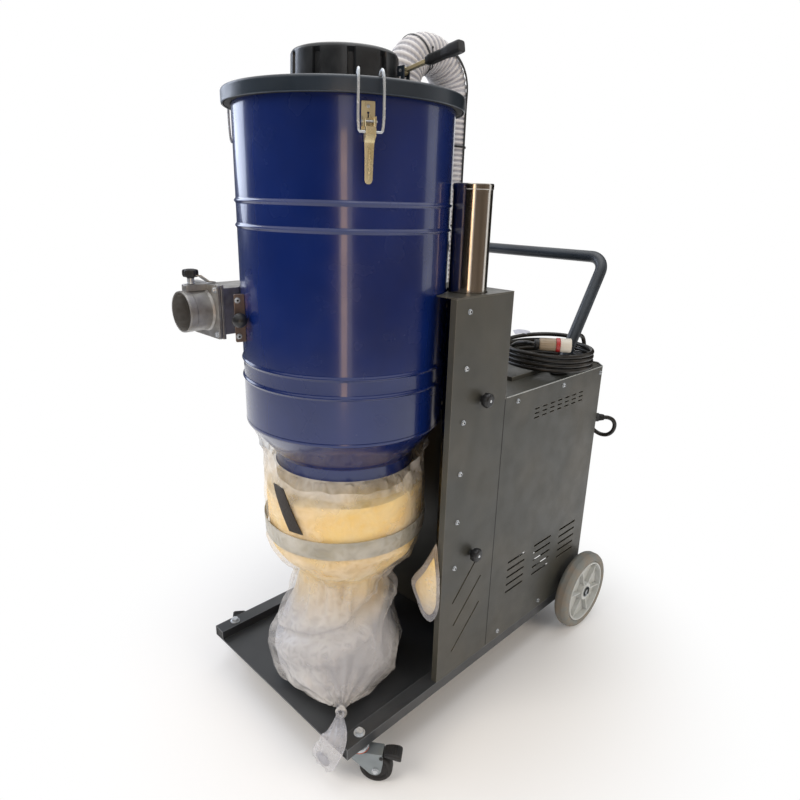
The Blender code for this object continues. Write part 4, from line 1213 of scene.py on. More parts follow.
@dataclass
class Casters(Assembly):
    """Two swivel casters with brakes."""

    radius: float = 0.0375
    trail: float = 0.04
    turn: float = radians(37)

    def build(self) -> None:
        """Build both casters."""
        for side in Side:
            self.caster(side)

    def caster(self, side: Side) -> None:
        """Build one caster: raceway, seal, fork, axle, wheel and pedal."""
        word = side.word
        king = Matrix.Translation((side.value * PLAN.king_x, PLAN.king_y, 0))
        spin = king @ Matrix.Rotation(self.turn if side is Side.RIGHT else pi - self.turn, 4, "Z")
        cup = rounded([(0, 0.0936), (0.021, 0.0936), (0.022, 0.092), (0.0225, 0.0875),
            (0.0205, 0.0858), (0.0, 0.0858)], 0.0012, 2)
        self.keep(lathe("raceway_" + word, cup, BRIGHT_ZINC, king, 48), slot="zinc_plate",
            stands_for=["caster_raceway_" + word])
        seal = rounded([(0.0185, 0.0872), (0.0222, 0.0868), (0.0224, 0.0852), (0.019, 0.0848)],
            0.0006, 2, True)
        self.keep(lathe("raceway_seal_" + word, seal, ORANGE_SEAL, king, 48, ring=True))

        body = "caster_fork_" + word
        crown = lathe("fork_crown_" + word, rounded([(0, 0.0846), (0.0195, 0.0846),
            (0.0205, 0.0805), (0, 0.08)], 0.0015, 2), GREY_ZINC, king, 40)
        arms = []
        outline = rounded([(-0.0195, 0.0835), (-0.0175, 0.066), (0.03, 0.0245), (0.043, 0.0235),
            (0.052, 0.032), (0.057, 0.06), (0.056, 0.0835)], 0.008, 4, True)
        for edge in (1, -1):
            stand = spin @ Matrix.Translation((0, edge * 0.0155 + 0.001, 0)) @ TIPPED
            arms.append(plate("arm", [outline], 0.002, GREY_ZINC, stand, 0.0005))
        bridge = block("bridge", (-0.0185, -0.0165, 0.0812), (0.0555, 0.0165, 0.0838), GREY_ZINC,
            0.001, spin)
        self.keep(merge("fork_" + word, [crown, bridge, *arms]), body, "zinc_plate",
            ["caster_fork_" + word])
        out = spin.to_3x3() @ Vector((0, 1, 0))
        hub = spin @ Vector((self.trail, 0, self.radius))
        ends = [(hub + out * 0.0166, out), (hub - out * 0.0166, -out)]
        self.keep(Fastener(6, 0.0062, 0.004, 0.0078).fit("axle_nuts_" + word, ends, BRIGHT_ZINC),
            body)
        links = [spin @ Vector((0.0525, s * 0.018, 0.0745)) for s in (1, -1)]
        self.keep(rod("brake_link_" + word, links, 0.0042, BLACK_NYLON), body)

        axis = spin @ Matrix.Translation((self.trail, 0, self.radius)) @ TIPPED
        r = self.radius
        tread = rounded([(r - 0.004, 0.0125), (r, 0.009), (r, -0.009), (r - 0.004, -0.0125),
            (r - 0.01, -0.012), (r - 0.012, -0.0095), (0.012, -0.0095), (0.011, -0.0128),
            (0.0042, -0.0128), (0.0042, 0.0128), (0.011, 0.0128), (0.012, 0.0095),
            (r - 0.012, 0.0095), (r - 0.01, 0.012)], 0.0022, 2, True)
        self.keep(lathe("caster_tyre_" + word, tread, GASKET, axis, 64, ring=True),
            "caster_wheel_" + word, "black_plastic", ["caster_wheel_" + word])

        pedal = "brake_pedal_" + word
        rings = []
        for x, half, low, high in ((0.0575, 0.012, 0.0762, 0.0838), (0.06, 0.015, 0.0752, 0.0855),
                (0.076, 0.0172, 0.0738, 0.088), (0.09, 0.018, 0.0712, 0.0868),
                (0.096, 0.0172, 0.0705, 0.0835), (0.0975, 0.015, 0.0712, 0.0805)):
            middle, tall = (low + high) / 2, (high - low) / 2
            rings.append([(x, p.x, middle + p.y) for p in oval(half, tall, tall * 0.8, 3)])
        self.keep(lofted("pedal_" + word, rings, BLACK_NYLON, spin), pedal, "black_plastic",
            ["brake_pedal_" + word])
        ridges = [block("ridge", (x - 0.0011, -0.0135, high - 0.0006),
            (x + 0.0011, 0.0135, high + 0.0014), BLACK_NYLON, 0.0006, spin) for x, high in (
            (0.066, 0.0865), (0.0715, 0.0874), (0.077, 0.0881), (0.0825, 0.0876), (0.088, 0.0871))]
        self.keep(merge("pedal_ridges_" + word, ridges), pedal)


@dataclass
class RearWheels(Assembly):
    """Two large wheels: filled rubber tyre on a spoked plastic hub, with a clip on the axle."""

    radius: float = 0.12
    width: float = 0.048
    outer_x: float = 0.346
    axle_y: float = 0.4355
    rim: float = 0.0945
    spokes: int = 6

    def build(self) -> None:
        """Build both wheels and dress the axle."""
        self.dress("rear_axle", BRIGHT_ZINC)
        for side in Side:
            self.wheel(side)

    def wheel(self, side: Side) -> None:
        """Build one wheel."""
        word, body = side.word, "rear_wheel_" + side.word
        half, r = self.width / 2, self.radius
        spot = facing((side.value * (self.outer_x - half), self.axle_y, r), (side.value, 0, 0))
        shoulder = [(self.rim + 0.0004, half - 0.006), (self.rim + 0.005, half - 0.003),
            (r - 0.0125, half - 0.001), (r - 0.0045, half - 0.006), (r - 0.0012, half - 0.0125),
            (r - 0.0012, half - 0.014), (r, half - 0.015)]
        tread = shoulder + [(p[0], -p[1]) for p in reversed(shoulder)]
        self.keep(lathe("tyre_" + word, rounded(tread, 0.004, 3, True), TYRE, spot, 128, ring=True),
            body, "grey_rubber", ["rear_tyre_" + word])
        rim = self.rim
        hub = [(rim, 0.0205), (rim, -0.0205), (rim - 0.0055, -0.0205), (rim - 0.0075, -0.004),
            (0.0285, -0.004), (0.0265, -0.0215), (0.0103, -0.0215), (0.0103, 0.0215),
            (0.0265, 0.0215), (0.0285, 0.004), (rim - 0.0075, 0.004), (rim - 0.0055, 0.0205)]
        self.keep(lathe("hub_" + word, rounded(hub, 0.0012, 2, True), CREAM_PP, spot, 96,
            ring=True), body, "cream_plastic", ["rear_hub_" + word])
        for number, z in enumerate((0.0035, -0.0165)):
            blade = block("blade", (0.027, -0.0019, z), (rim - 0.0058, 0.0019, z + 0.0135),
                CREAM_PP, 0.0006)
            seed = blade.data
            bpy.data.objects.remove(blade)
            fins = Trees.get("wheel").grow(f"spokes_{number}_{word}", seed, CREAM_PP,
                Count=self.spokes, Phase=radians(20))
            fins.data.transform(spot)
            self.keep(fins, body)
        washer = rounded([(0.0102, 0.0216), (0.0102, 0.0232), (0.017, 0.0232), (0.017, 0.0216)],
            0.0003, 1, True)
        self.keep(lathe("axle_washer_" + word, washer, GREY_ZINC, spot, 48, ring=True), body)
        clip = [(0.015 * cos(radians(a)), 0.015 * sin(radians(a))) for a in range(35, 326, 10)] + [
            (0.0098 * cos(radians(a)), 0.0098 * sin(radians(a))) for a in range(325, 34, -10)]
        self.keep(plate("axle_clip_" + word, [clip], 0.0013, DARK,
            spot @ Matrix.Translation((0, 0, 0.0234)), 0.0002), body)


# ---- column and cabinet -------------------------------------------------------------
@dataclass
class Column(Assembly):
    """The sheet channel with its top plate, slots, screws and clamp knobs."""

    screw_y: float = -0.1475
    screw_z: tuple[float, ...] = (1.042, 0.92, 0.798, 0.675, 0.553, 0.431)
    slots: tuple[tuple[float, float, float, float], ...] = ((-0.0555, 0.426, -0.1385, 0.338),
        (-0.0385, 0.364, -0.1385, 0.262), (-0.0385, 0.286, -0.1385, 0.187))
    knob_z: tuple[tuple[str, float], ...] = (("upper", 0.841), ("lower", 0.449))
    knob_x: float = 0.2643

    def build(self) -> None:
        """Build the channel, its top, the screws and the knobs."""
        channel = refine("column_channel", CHARCOAL, 0.0014)
        spots, ways, longest = [], [], 0.0
        for side in Side:
            for y0, z0, y1, z1 in self.slots:
                run = Vector((0, y1 - y0, z1 - z0))
                longest = max(longest, run.length)
                spots.append(((side.value * PLAN.half_w, (y0 + y1) / 2, (z0 + z1) / 2),
                    (side.value, 0, 0)))
                ways.append(run.normalized())
        carve(channel, Trees.get("slot").grow("column_slots", spots_mesh("slots", spots, ways),
            CHARCOAL, Length=longest, Height=0.0055, Depth=0.014))
        self.keep(channel, slot="charcoal_coat", stands_for=["column_channel"])
        self.replica("column_top", CHARCOAL, 0.0007)
        heads = [((s.value * (PLAN.half_w + 0.0001), self.screw_y, z), (s.value, 0, 0))
            for s in Side for z in self.screw_z]
        self.screws("column_screws", heads)
        for name, z in self.knob_z:
            self.knob(name, z)

    def knob(self, name: str, z: float) -> None:
        """Build one clamp knob with its stem, its lock nut and the steel dot in its face."""
        def grips(r: float, height: float, angle: float) -> float:
            return r - 0.0012 * (1 + cos(9 * angle)) / 2 if r > 0.014 else r

        place = facing((self.knob_x, PLAN.post_y, z), (1, 0, 0))
        body = "clamp_knob_" + name
        profile = rounded([(0, 0.0435), (0.011, 0.0435), (0.0165, 0.041), (0.0178, 0.035),
            (0.0162, 0.027), (0.0095, 0.0245), (0.0085, 0.0195), (0.0, 0.0195)], 0.0016, 2)
        self.keep(lathe("knob_" + name, profile, BLACK_ABS, place, 90, wave=grips), body,
            "black_plastic", [body])
        self.keep(lathe("knob_stem_" + name, rounded([(0, 0.02), (0.0039, 0.02), (0.0039, 0.0002),
            (0, 0.0002)], 0.0004, 1), BRIGHT_ZINC, place, 20), body)
        self.keep(lathe("knob_dot_" + name, rounded([(0, 0.0442), (0.0032, 0.044), (0.0036, 0.043),
            (0, 0.0428)], 0.0003, 1), BRIGHT_ZINC, place, 24), body)


@dataclass
class Cabinet(Assembly):
    """The bent side and back sheet with its vents and screws, the top and the cord tray."""

    row_y: tuple[tuple[float, float], ...] = ((0.598, 0.082), (0.726, 0.088), (0.859, 0.09))
    row_z: tuple[float, ...] = (0.254, 0.277, 0.3, 0.323, 0.346)
    dash_z: tuple[float, ...] = (0.766, 0.754, 0.742)
    dash_y: tuple[float, ...] = (0.628, 0.664, 0.7, 0.736, 0.772, 0.808, 0.845)
    screws_yz: tuple[tuple[float, float], ...] = ((0.536, 0.805), (0.745, 0.805), (0.942, 0.805),
        (0.535, 0.143), (0.735, 0.143))
    chamfer: float = 0.03

    def build(self) -> None:
        """Build the shell with its vents, the top, the tray and the screws."""
        shell = refine("cabinet_shell", CHARCOAL, 0.0012)
        for name, spots, ways, length, height in self.vents():
            carve(shell, Trees.get("slot").grow(name, spots_mesh(name, spots, ways), CHARCOAL,
                Length=length, Height=height, Depth=0.014))
        self.keep(shell, slot="charcoal_coat", stands_for=["cabinet_shell"])
        self.replica("cabinet_top", CHARCOAL, 0.0006)
        self.replica("cord_tray", CHARCOAL, 0.0009)
        y = PLAN.tray_y
        heads = [((s.value * (PLAN.half_w + 0.0001), y + sy, sz), (s.value, 0, 0)) for s in Side
            for sy, sz in self.screws_yz]
        back = PLAN.cabinet_back + 0.0001
        heads += [((x, back, z), (0, 1, 0)) for x in (-0.225, 0.0, 0.225)
            for z in (0.8, 0.48, 0.143)]
        self.screws("cabinet_screws", heads)
        self.edges()
        self.door()
        self.grommets()

    def vents(self) -> Iterable[tuple[str, list, list, float, float]]:
        """Yield each group of slots: its name, places, ways, length and height."""
        side_ways = [(s.value, 0, 0) for s in Side]
        y = PLAN.tray_y
        for number, (centre, length) in enumerate(self.row_y):
            spots = [((w[0] * PLAN.half_w, y + centre, z), w) for w in side_ways
                for z in self.row_z]
            yield f"side_vents_{number}", spots, [(0, 1, 0)] * len(spots), length, 0.0065
        spots = [((w[0] * PLAN.half_w, y + dash, z), w) for w in side_ways for dash in self.dash_y
            for z in self.dash_z]
        yield "side_dashes", spots, [(0, 1, 0)] * len(spots), 0.022, 0.0042
        spots = [((x, PLAN.cabinet_back, 0.215 + 0.023 * k), (0, 1, 0)) for x in (-0.12, 0.0, 0.12)
            for k in range(9)]
        yield "back_vents", spots, [(1, 0, 0)] * len(spots), 0.09, 0.0065

    def edges(self) -> None:
        """Build the seal strip between column and cabinet, and a thin pale rod along the top edge,
        a painted highlight where that edge catches light.
        """
        seals, line = [], []
        top, back, face = PLAN.cabinet_top, PLAN.cabinet_back - 0.0004, PLAN.half_w - 0.0004
        for side in Side:
            low_x, high_x = sorted((side.value * (PLAN.half_w - 0.001),
                side.value * (PLAN.half_w + 0.0003)))
            seals.append(block("seal", (low_x, PLAN.column_back - 0.0012, 0.126),
                (high_x, PLAN.column_back + 0.0014, top - 0.002), GASKET, 0.0003))
            leg = [(side.value * x, y, top + 0.0002) for x, y in ((face, PLAN.column_back + 0.006),
                (face, back - self.chamfer), (face - self.chamfer, back))]
            line += leg if side is Side.RIGHT else leg[::-1]
        self.keep(merge("cabinet_seals", seals), slot="black_plastic")
        # the pale rod is a painted highlight along the charcoal top edge
        self.keep(rod("cabinet_hem", line, 0.0014, EDGE_HIGHLIGHT_COAT, 10), slot="charcoal_coat")

    def door(self) -> None:
        """Build the access door on the cabinet's back, with a pressed rib round its edge."""
        y = PLAN.cabinet_back + 0.0002
        stand = Matrix.Translation((0, y, 0)) @ Matrix.Rotation(-pi / 2, 4, "X")
        outer = [(p.x, -(p.y + 0.3075)) for p in oval(0.205, 0.142, 0.012, 5)]
        inner = [(p.x, -(p.y + 0.3075)) for p in oval(0.201, 0.138, 0.009, 5)]
        self.keep(plate("back_frame", [outer, inner], 0.0016, CHARCOAL, stand, 0.0006),
            slot="charcoal_coat")

    def grommets(self) -> None:
        """Build the rubber rings where the handle goes through the top, and round the hose pipe."""
        lean = Vector((0, 0.2548, 0.4006)).normalized()
        foot = Vector((0, 0.2465, 0.72))
        at = foot + lean * ((PLAN.cabinet_top + 0.0015 - foot.z) / lean.z)
        ring = rounded([(0.0163, -0.003), (0.0163, 0.0035), (0.02, 0.0035), (0.0225, 0.001),
            (0.0225, -0.0014)], 0.0008, 2, True)
        for side in Side:
            spot = Matrix.Translation((side.value * 0.2365, at.y, at.z))
            self.keep(lathe("handle_grommet_" + side.word, ring, GASKET,
                spot @ Matrix.Diagonal((1, 1.18, 1, 1)), 48, ring=True))


@dataclass
class PushHandle(Assembly):
    """A tube bent to a U, leaning back."""

    half: float = 0.2365
    foot: tuple[float, float] = (0.2465, 0.72)
    head: tuple[float, float] = (0.5013, 1.1206)
    bend: float = 0.045
    radius: float = 0.016

    def build(self) -> None:
        """Build the tube with smooth bends."""
        foot, head = Vector((0, *self.foot)), Vector((0, *self.head))
        up = (head - foot).normalized()
        centre = head - up * self.bend
        across = self.half - self.bend
        quarter = [Vector((across + self.bend * cos(a), 0, 0)) + centre + up * self.bend * sin(a)
            for a in (pi / 2 * k / 14 for k in range(15))]
        run = [foot + Vector((self.half, 0, 0))] + quarter
        run += [Vector((-p.x, p.y, p.z)) for p in reversed(run)]
        self.keep(rod("handle_tube", run, self.radius, SLATE, 32), slot="handle_coat",
            stands_for=["push_handle"])


@dataclass
class Blower(Assembly):
    """Fan housing, motor and pipe inside the cabinet; they show through the vents."""

    def build(self) -> None:
        """Dress the CAD shapes and build the pipe's collar."""
        for node in ("blower_housing", "blower_rotor"):
            self.dress(node, CAST)
        self.dress("blower_motor", SLATE)
        self.dress("suction_pipe", GREY_ZINC)
        collar = rounded([(0.0398, 0.8225), (0.0398, 0.8262), (0.052, 0.8262), (0.052, 0.8225)],
            0.001, 2, True)
        self.keep(lathe("pipe_collar", collar, GREY_ZINC, Matrix.Translation((0, 0.0775, 0)), 64,
            ring=True))
        spots = [((0.0462 * cos(a), 0.0775 + 0.0462 * sin(a), 0.8262), (0, 0, 1))
            for a in (radians(45 + 90 * k) for k in range(4))]
        self.screws("collar_screws", spots, head=SMALL_RIVET, socket=False)


# ---- drum ---------------------------------------------------------------------------
@dataclass
class Drum(Assembly):
    """The filter drum: shell, cone, lid with its round head, port and saddles."""

    radius: float = 0.229
    wall: float = 0.002
    bottom: float = 0.779
    shell_top: float = 1.4525
    beads: tuple[float, ...] = (1.249, 1.2, 0.917, 0.877)
    bead_half: float = 0.0062
    bead_out: float = 0.0034
    lid_r: float = 0.248
    lid_rim: float = 1.429
    cap_r: float = 0.111
    cap_top: float = 1.535
    notches: int = 10
    notch_first: float = radians(-69.8)
    body: str = "drum"

    def build(self) -> None:
        """Build every fixed piece of the drum."""
        self.shell()
        self.cone()
        self.lid()
        self.cap()
        self.port()
        self.carriers()
        self.dress("filter_cartridge", FELT)

    def shell(self) -> None:
        """Build the rolled shell with its beads, its rolled top edge and the inlet's opening."""
        r = self.radius
        outer = [(r, self.shell_top)]
        for z in self.beads:
            for k in range(9):
                t = -1 + k / 4
                outer.append((r + self.bead_out * (0.5 + 0.5 * cos(pi * t)),
                    z - self.bead_half * t))
        outer += [(r, self.bottom + 0.001), (r - 0.0006, self.bottom)]
        inner = [(r - self.wall, self.bottom), (r - self.wall, self.shell_top)]
        shell = lathe("drum_wall", outer + inner, BLUE, DRUM_AXIS, 180, ring=True)
        cut = rod("cut", [(-0.17, -0.5555, 1.02), (-0.17, PLAN.drum_y, 1.02)], 0.041, BLUE, 48)
        carve(shell, cut)
        self.keep(shell, self.body, "blue_enamel", ["drum_shell"])
        seam = [Vector((0, -0.017, z)) for z in (self.bottom + 0.002, self.shell_top - 0.03)]
        self.keep(rod("weld_seam", seam, 0.0018, BLUE, 10), self.body, "blue_enamel")

    def cone(self) -> None:
        """Build the hopper cone with its weld to the drum and its outlet neck."""
        top = self.bottom - 0.0003
        r, neck = self.radius, 0.165
        outer = [(r, top), (r + 0.0004, top - 0.003), (r, top - 0.007), (neck + 0.002, 0.6945),
            (neck, 0.69), (neck, 0.665), (neck + 0.0015, 0.6645)]
        inner = [(neck + 0.001, 0.664), (neck - 0.002, 0.6645), (neck - 0.002, 0.693),
            (r - 0.002, top - 0.0055), (r - 0.002, top)]
        self.keep(lathe("hopper", outer + inner, BLUE, DRUM_AXIS, 160, ring=True), self.body,
            "blue_enamel", ["hopper_cone"])

    def lid(self) -> None:
        """Build the lid with its rolled rim, the gasket under it and the lever's ears."""
        r, top, rim = self.lid_r, PLAN.lid_top, self.lid_rim
        under = top - 0.004
        profile = [(0, top), (0.15, top), (0.1535, top - 0.0012), (0.226, top - 0.0012),
            (0.229, top), (r - 0.006, top)]
        for k in range(1, 7):
            a = pi / 2 * k / 6
            profile.append((r - 0.006 + 0.006 * sin(a), top - 0.006 + 0.006 * cos(a)))
        profile += [(r, rim + 0.004), (r - 0.0006, rim + 0.001), (r - 0.002, rim),
            (r - 0.0035, rim + 0.001), (r - 0.004, rim + 0.003), (r - 0.004, under - 0.004),
            (r - 0.008, under), (0, under)]
        lid = lathe("lid_plate", profile, GUNMETAL, DRUM_AXIS, 180)
        carve(lid, rod("cut", [(0, PLAN.post_y, 1.4), (0, PLAN.post_y, 1.5)], 0.0398, GUNMETAL, 48))
        ears = []
        for y in (-0.1835, -0.1985):
            ears.append(block("ear", (0.1035, y - 0.0015, 1.49), (0.116, y + 0.0015, 1.509),
                GUNMETAL, 0.001))
            ears.append(block("ear", (0.114, y - 0.0015, top - 0.0002), (0.123, y + 0.0015, 1.509),
                GUNMETAL, 0.001))
        foot = block("foot", (0.1125, -0.203, top - 0.0002), (0.13, -0.179, top + 0.003), GUNMETAL,
            0.001)
        self.keep(lid, self.body, "gunmetal_coat", ["lid"])
        self.keep(merge("lever_ears", [*ears, foot]), self.body, "gunmetal_coat")
        pin = [(0.113, -0.2015, 1.5), (0.113, -0.1775, 1.5)]
        self.keep(rod("lever_pin", pin, 0.0029, BRIGHT_ZINC), self.body)
        gasket = rounded([(0.2296, 1.43), (0.2296, 1.438), (0.2425, 1.438), (0.2425, 1.43)], 0.002,
            2, True)
        self.keep(lathe("lid_gasket", gasket, GASKET, DRUM_AXIS, 128, ring=True), self.body)

    def cap(self) -> None:
        """Build the round head on the lid, with upright notches in its side."""
        base, top, r = PLAN.lid_top + 0.0003, self.cap_top, self.cap_r
        half = radians(3.6)

        def notch(radius: float, height: float, angle: float) -> float:
            if radius < r - 0.01 or height > top - 0.009:
                return radius
            step = tau / self.notches
            away = abs((angle - self.notch_first + step / 2) % step - step / 2)
            depth = min(1.0, max(0.0, (half * 1.15 - away) / (half * 0.3)))
            foot = min(1.0, (top - 0.009 - height) / 0.004)
            return radius - 0.008 * depth * foot

        side = [(r - 0.0025 * (k / 9), base + (top - 0.007 - base) * k / 9) for k in range(10)]
        crown = [(r - 0.0032 - 0.007 * (1 - cos(a)), top - 0.007 + 0.007 * sin(a))
            for a in (pi / 2 * k / 6 for k in range(1, 7))]
        outside = side + crown + [(r - 0.03, top), (0.03, top - 0.0015), (0, top - 0.0015)]
        inside = [(r - 0.016, base), (r - 0.016, base + 0.004), (r - 0.022, top - 0.006),
            (0, top - 0.006)]
        self.keep(lathe("lid_head", [*reversed(outside), *inside], SATIN_ABS, DRUM_AXIS, 360,
            wave=notch), self.body, "black_plastic", ["lid_cap"])

    def port(self) -> None:
        """Build the port on the lid, where the hose goes on, with its flange screws."""
        base, bore = PLAN.lid_top + 0.0003, 0.037
        ring = rounded([(0.0394, 1.481), (0.0394, base + 0.005), (0.0468, base + 0.005),
            (0.0468, base), (0.0394, base), (0.0394, 1.4515), (bore, 1.4515), (bore, 1.481)],
            0.0006, 2, True)
        place = Matrix.Translation((0, PLAN.post_y, 0))
        self.keep(lathe("hose_port", ring, GUNMETAL, place, 72, ring=True), self.body,
            "gunmetal_coat", ["lid_port"])
        spots = [((0.043 * cos(a), PLAN.post_y + 0.043 * sin(a), base + 0.005), (0, 0, 1))
            for a in (radians(30 + 60 * k) for k in range(6))]
        self.screws("port_screws", spots, self.body, SMALL_RIVET, socket=False)

    def carriers(self) -> None:
        """Build the guide posts with their collars, the saddles and the drum's bolts on them."""
        for side in Side:
            spot = Matrix.Translation((side.value * 0.2225, PLAN.post_y, 0))
            r = 0.0415
            profile = rounded([(0, 1.2946), (r + 0.0002, 1.2946), (r + 0.001, 1.2925),
                (r + 0.001, 1.2835), (r, 1.2828), (r, 0.4005), (r - 0.003, 0.4005),
                (r - 0.003, 1.29), (0, 1.29)], 0.0006, 2)
            self.keep(lathe("post_" + side.word, profile, STAINLESS, spot, 96), self.body,
                "polished_steel", ["guide_post_" + side.word])
        for node in ("drum_saddle_upper", "drum_saddle_lower"):
            self.replica(node, CHARCOAL, 0.0006, body=self.body)
        lugs, heads = [], []
        for side in Side:
            low_x, high_x = sorted((side.value * 0.142, side.value * 0.1755))
            lugs.append(block("lug", (low_x, -0.086, 0.785), (high_x, -0.0828, 1.06), BLUE, 0.001))
            heads += [((side.value * 0.16, -0.0861, z), (0, -1, 0)) for z in (1.034, 0.802)]
        self.keep(merge("drum_lugs", lugs), self.body, "blue_enamel")
        self.screws("lug_bolts", heads, self.body, M6_HEX, BRIGHT_ZINC, socket=False)


@dataclass
class CleaningLever(Assembly):
    """The flat lever and its grip, which shake the filter clean."""

    pivot: tuple[float, float, float] = (0.113, -0.1895, 1.5)
    rise: float = radians(10)
    body: str = "cleaning_lever"

    def build(self) -> None:
        """Build the bar, its boss and the grip."""
        turn = Matrix.Translation(self.pivot) @ Matrix.Rotation(-self.rise, 4, "Y")
        lay = turn @ TIPPED
        boss = plate("boss", [circle(0.0082, 32), circle(0.0031, 20)], 0.011, YELLOW_ZINC,
            lay @ Matrix.Translation((0, 0, -0.0055)), 0.0005)
        bar = block("bar", (0.0062, -0.005, -0.0034), (0.064, 0.005, 0.0034), YELLOW_ZINC, 0.0008,
            turn)
        self.keep(merge("lever_bar", [boss, bar]), self.body, "zinc_plate", ["cleaning_lever"])
        rings = []
        for x, wide, tall in ((0.0626, 0.0068, 0.0062), (0.0634, 0.0078, 0.0072), (0.068, 0.0081,
                0.0076), (0.104, 0.0086, 0.0081), (0.116, 0.0097, 0.0093), (0.1225, 0.0106, 0.0103),
                (0.144, 0.0107, 0.0104), (0.147, 0.0102, 0.0099), (0.1482, 0.0084, 0.0081)):
            rings.append([(x, p.x, p.y) for p in oval(wide, tall, min(wide, tall) * 0.55, 4)])
        self.keep(lofted("lever_sleeve", rings, BLACK_ABS, turn), self.body, "black_plastic",
            ["lever_grip"])
        ribs = []
        for k in range(9):
            x = 0.0715 + 0.0036 * k
            rings = [[(x + dx, p.x, p.y) for p in oval(0.0082 + w, 0.0077 + w, 0.005, 4)] for dx,
                w in ((-0.0009, 0.0), (-0.0004, 0.001), (0.0004, 0.001), (0.0009, 0.0))]
            ribs.append(lofted("rib", rings, BLACK_ABS, turn))
        self.keep(merge("grip_ribs", ribs), self.body)


@dataclass
class Latches(Assembly):
    """Two toggle latches: plate, lever and wire bail over the lid's rim."""

    azimuths: tuple[tuple[str, float], ...] = (("right", radians(60)), ("left", radians(-60)))
    pivot: float = 1.386
    pivot_out: float = 0.012
    pin: float = 1.368

    def build(self) -> None:
        """Build both latches."""
        for name, azimuth in self.azimuths:
            # local X runs along the drum's wall, local Y inwards, local Z up
            place = DRUM_AXIS @ Matrix.Rotation(azimuth, 4,
                "Z") @ Matrix.Translation((0, -PLAN.drum_r, 0))
            self.plate(name, place)
            self.lever(name, place)
            self.bail(name, place)

    def plate(self, name: str, place: Matrix) -> None:
        """Build the plate on the drum: its keyhole, its rivet, its ears and the pin."""
        stand = place @ Matrix.Translation((0, -0.0012, 0)) @ TIPPED
        outline = rounded([(0.0122, 1.4195), (-0.0122, 1.4195), (-0.0122, 1.372), (0.0122, 1.372)],
            0.002, 3, True)
        keyhole = [(0.0022 * cos(a), 1.4005 + 0.0022 * sin(a))
            for a in (radians(-60 + 20 * k) for k in range(16))]
        keyhole += [(-0.0013, 1.3925), (0.0013, 1.3925)]
        sheet = plate("sheet", [outline, keyhole], 0.002, YELLOW_ZINC, stand, 0.0004)
        ears = []
        for side in (1, -1):
            low, high = sorted((side * 0.01, side * 0.012))
            ears.append(block("ear", (low, -0.0172, 1.378), (high, -0.002, 1.394), YELLOW_ZINC,
                0.0006, place))
        self.keep(merge("latch_sheet_" + name, [sheet, *ears]), "drum", "zinc_plate",
            ["latch_plate_" + name])
        pin = [place @ Vector((x, -self.pivot_out, self.pivot)) for x in (-0.0142, 0.0142)]
        self.keep(rod("latch_pin_" + name, pin, 0.002, BRIGHT_ZINC), "drum")
        inward = place.to_3x3() @ Vector((0, -1, 0))
        self.keep(SMALL_RIVET.fit("latch_rivet_" + name,
            [(place @ Vector((0, -0.003, 1.411)), inward)], BRIGHT_ZINC), "drum")

    def lever(self, name: str, place: Matrix) -> None:
        """Build the lever: cheeks round its pins, a ribbed tail that narrows to a round end."""
        outline = [(-0.016, 1.3905), (-0.008, 1.3905), (-0.0078, 1.38), (-0.011, 1.356), (-0.0125,
            1.352), (-0.016, 1.354), (-0.0285, 1.3615), (-0.0285, 1.374), (-0.0205, 1.3765)]
        cheeks = []
        stand = place @ Matrix(((0, 0, 1, 0), (1, 0, 0, 0), (0, 1, 0, 0), (0, 0, 0, 1)))
        for x in (-0.0092, 0.0074):
            cheeks.append(plate("cheek", [rounded(outline, 0.002, 2, True)], 0.0018, YELLOW_ZINC,
                stand @ Matrix.Translation((0, 0, x)), 0.0004))
        rings = []
        for z, half, y in ((1.3765, 0.0088, -0.029), (1.364, 0.0092, -0.0288), (1.356, 0.0092,
                -0.019), (1.35, 0.0088, -0.015), (1.325, 0.0078, -0.0138), (1.3, 0.0074, -0.0125),
                (1.29, 0.0072, -0.0112), (1.285, 0.0052, -0.0105), (1.2832, 0.0022, -0.0102)):
            rings.append([(p.x, y + p.y + 0.0011, z) for p in oval(half, 0.0011, 0.0007, 2)])
        tail = lofted("tail", rings, YELLOW_ZINC, place)
        rib = [(0.0, -0.0147, 1.342), (0.0, -0.0146, 1.325), (0.0, -0.0133, 1.3),
            (0.0, -0.012, 1.293)]
        ridge = rod("ridge", [place @ Vector(p) for p in rib], 0.0016, YELLOW_ZINC, 12)
        self.keep(merge("latch_arm_" + name, [*cheeks, tail, ridge]), "latch_lever_" + name,
            "zinc_plate", ["latch_lever_" + name])

    def bail(self, name: str, place: Matrix) -> None:
        """Build the wire bail, bowed out round the rim and hooked over it."""
        over = PLAN.lid_top + 0.0026
        legs = [(0.0105, -0.0245, self.pin), (0.019, -0.0245, self.pin), (0.0212, -0.025, 1.372),
            (0.0226, -0.0262, 1.39), (0.0226, -0.027, 1.425), (0.0222, -0.0262, over - 0.01),
            (0.0216, -0.0238, over), (0.021, -0.02, over + 0.006), (0.0205, -0.014, over + 0.0075),
            (0.02, -0.0085, over + 0.0045), (0.0198, -0.0065, over)]
        for side in (1, -1):
            run = catmull([(side * x, y, z) for x, y, z in legs[1:]], 0.0036)
            run = [Vector((side * legs[0][0], legs[0][1], legs[0][2])), *run]
            wire = rod(f"bail_{name}_{'a' if side > 0 else 'b'}", [place @ p for p in run], 0.0025,
                BRIGHT_ZINC, 12)
            stands = ["latch_bail_" + name] if side > 0 else []
            self.keep(wire, "latch_bail_" + name, "zinc_plate", stands)
        across = [place @ Vector((x, -0.0245, self.pin)) for x in (-0.011, 0.011)]
        self.keep(rod("bail_pin_" + name, across, 0.002, BRIGHT_ZINC, 12), "latch_bail_" + name)


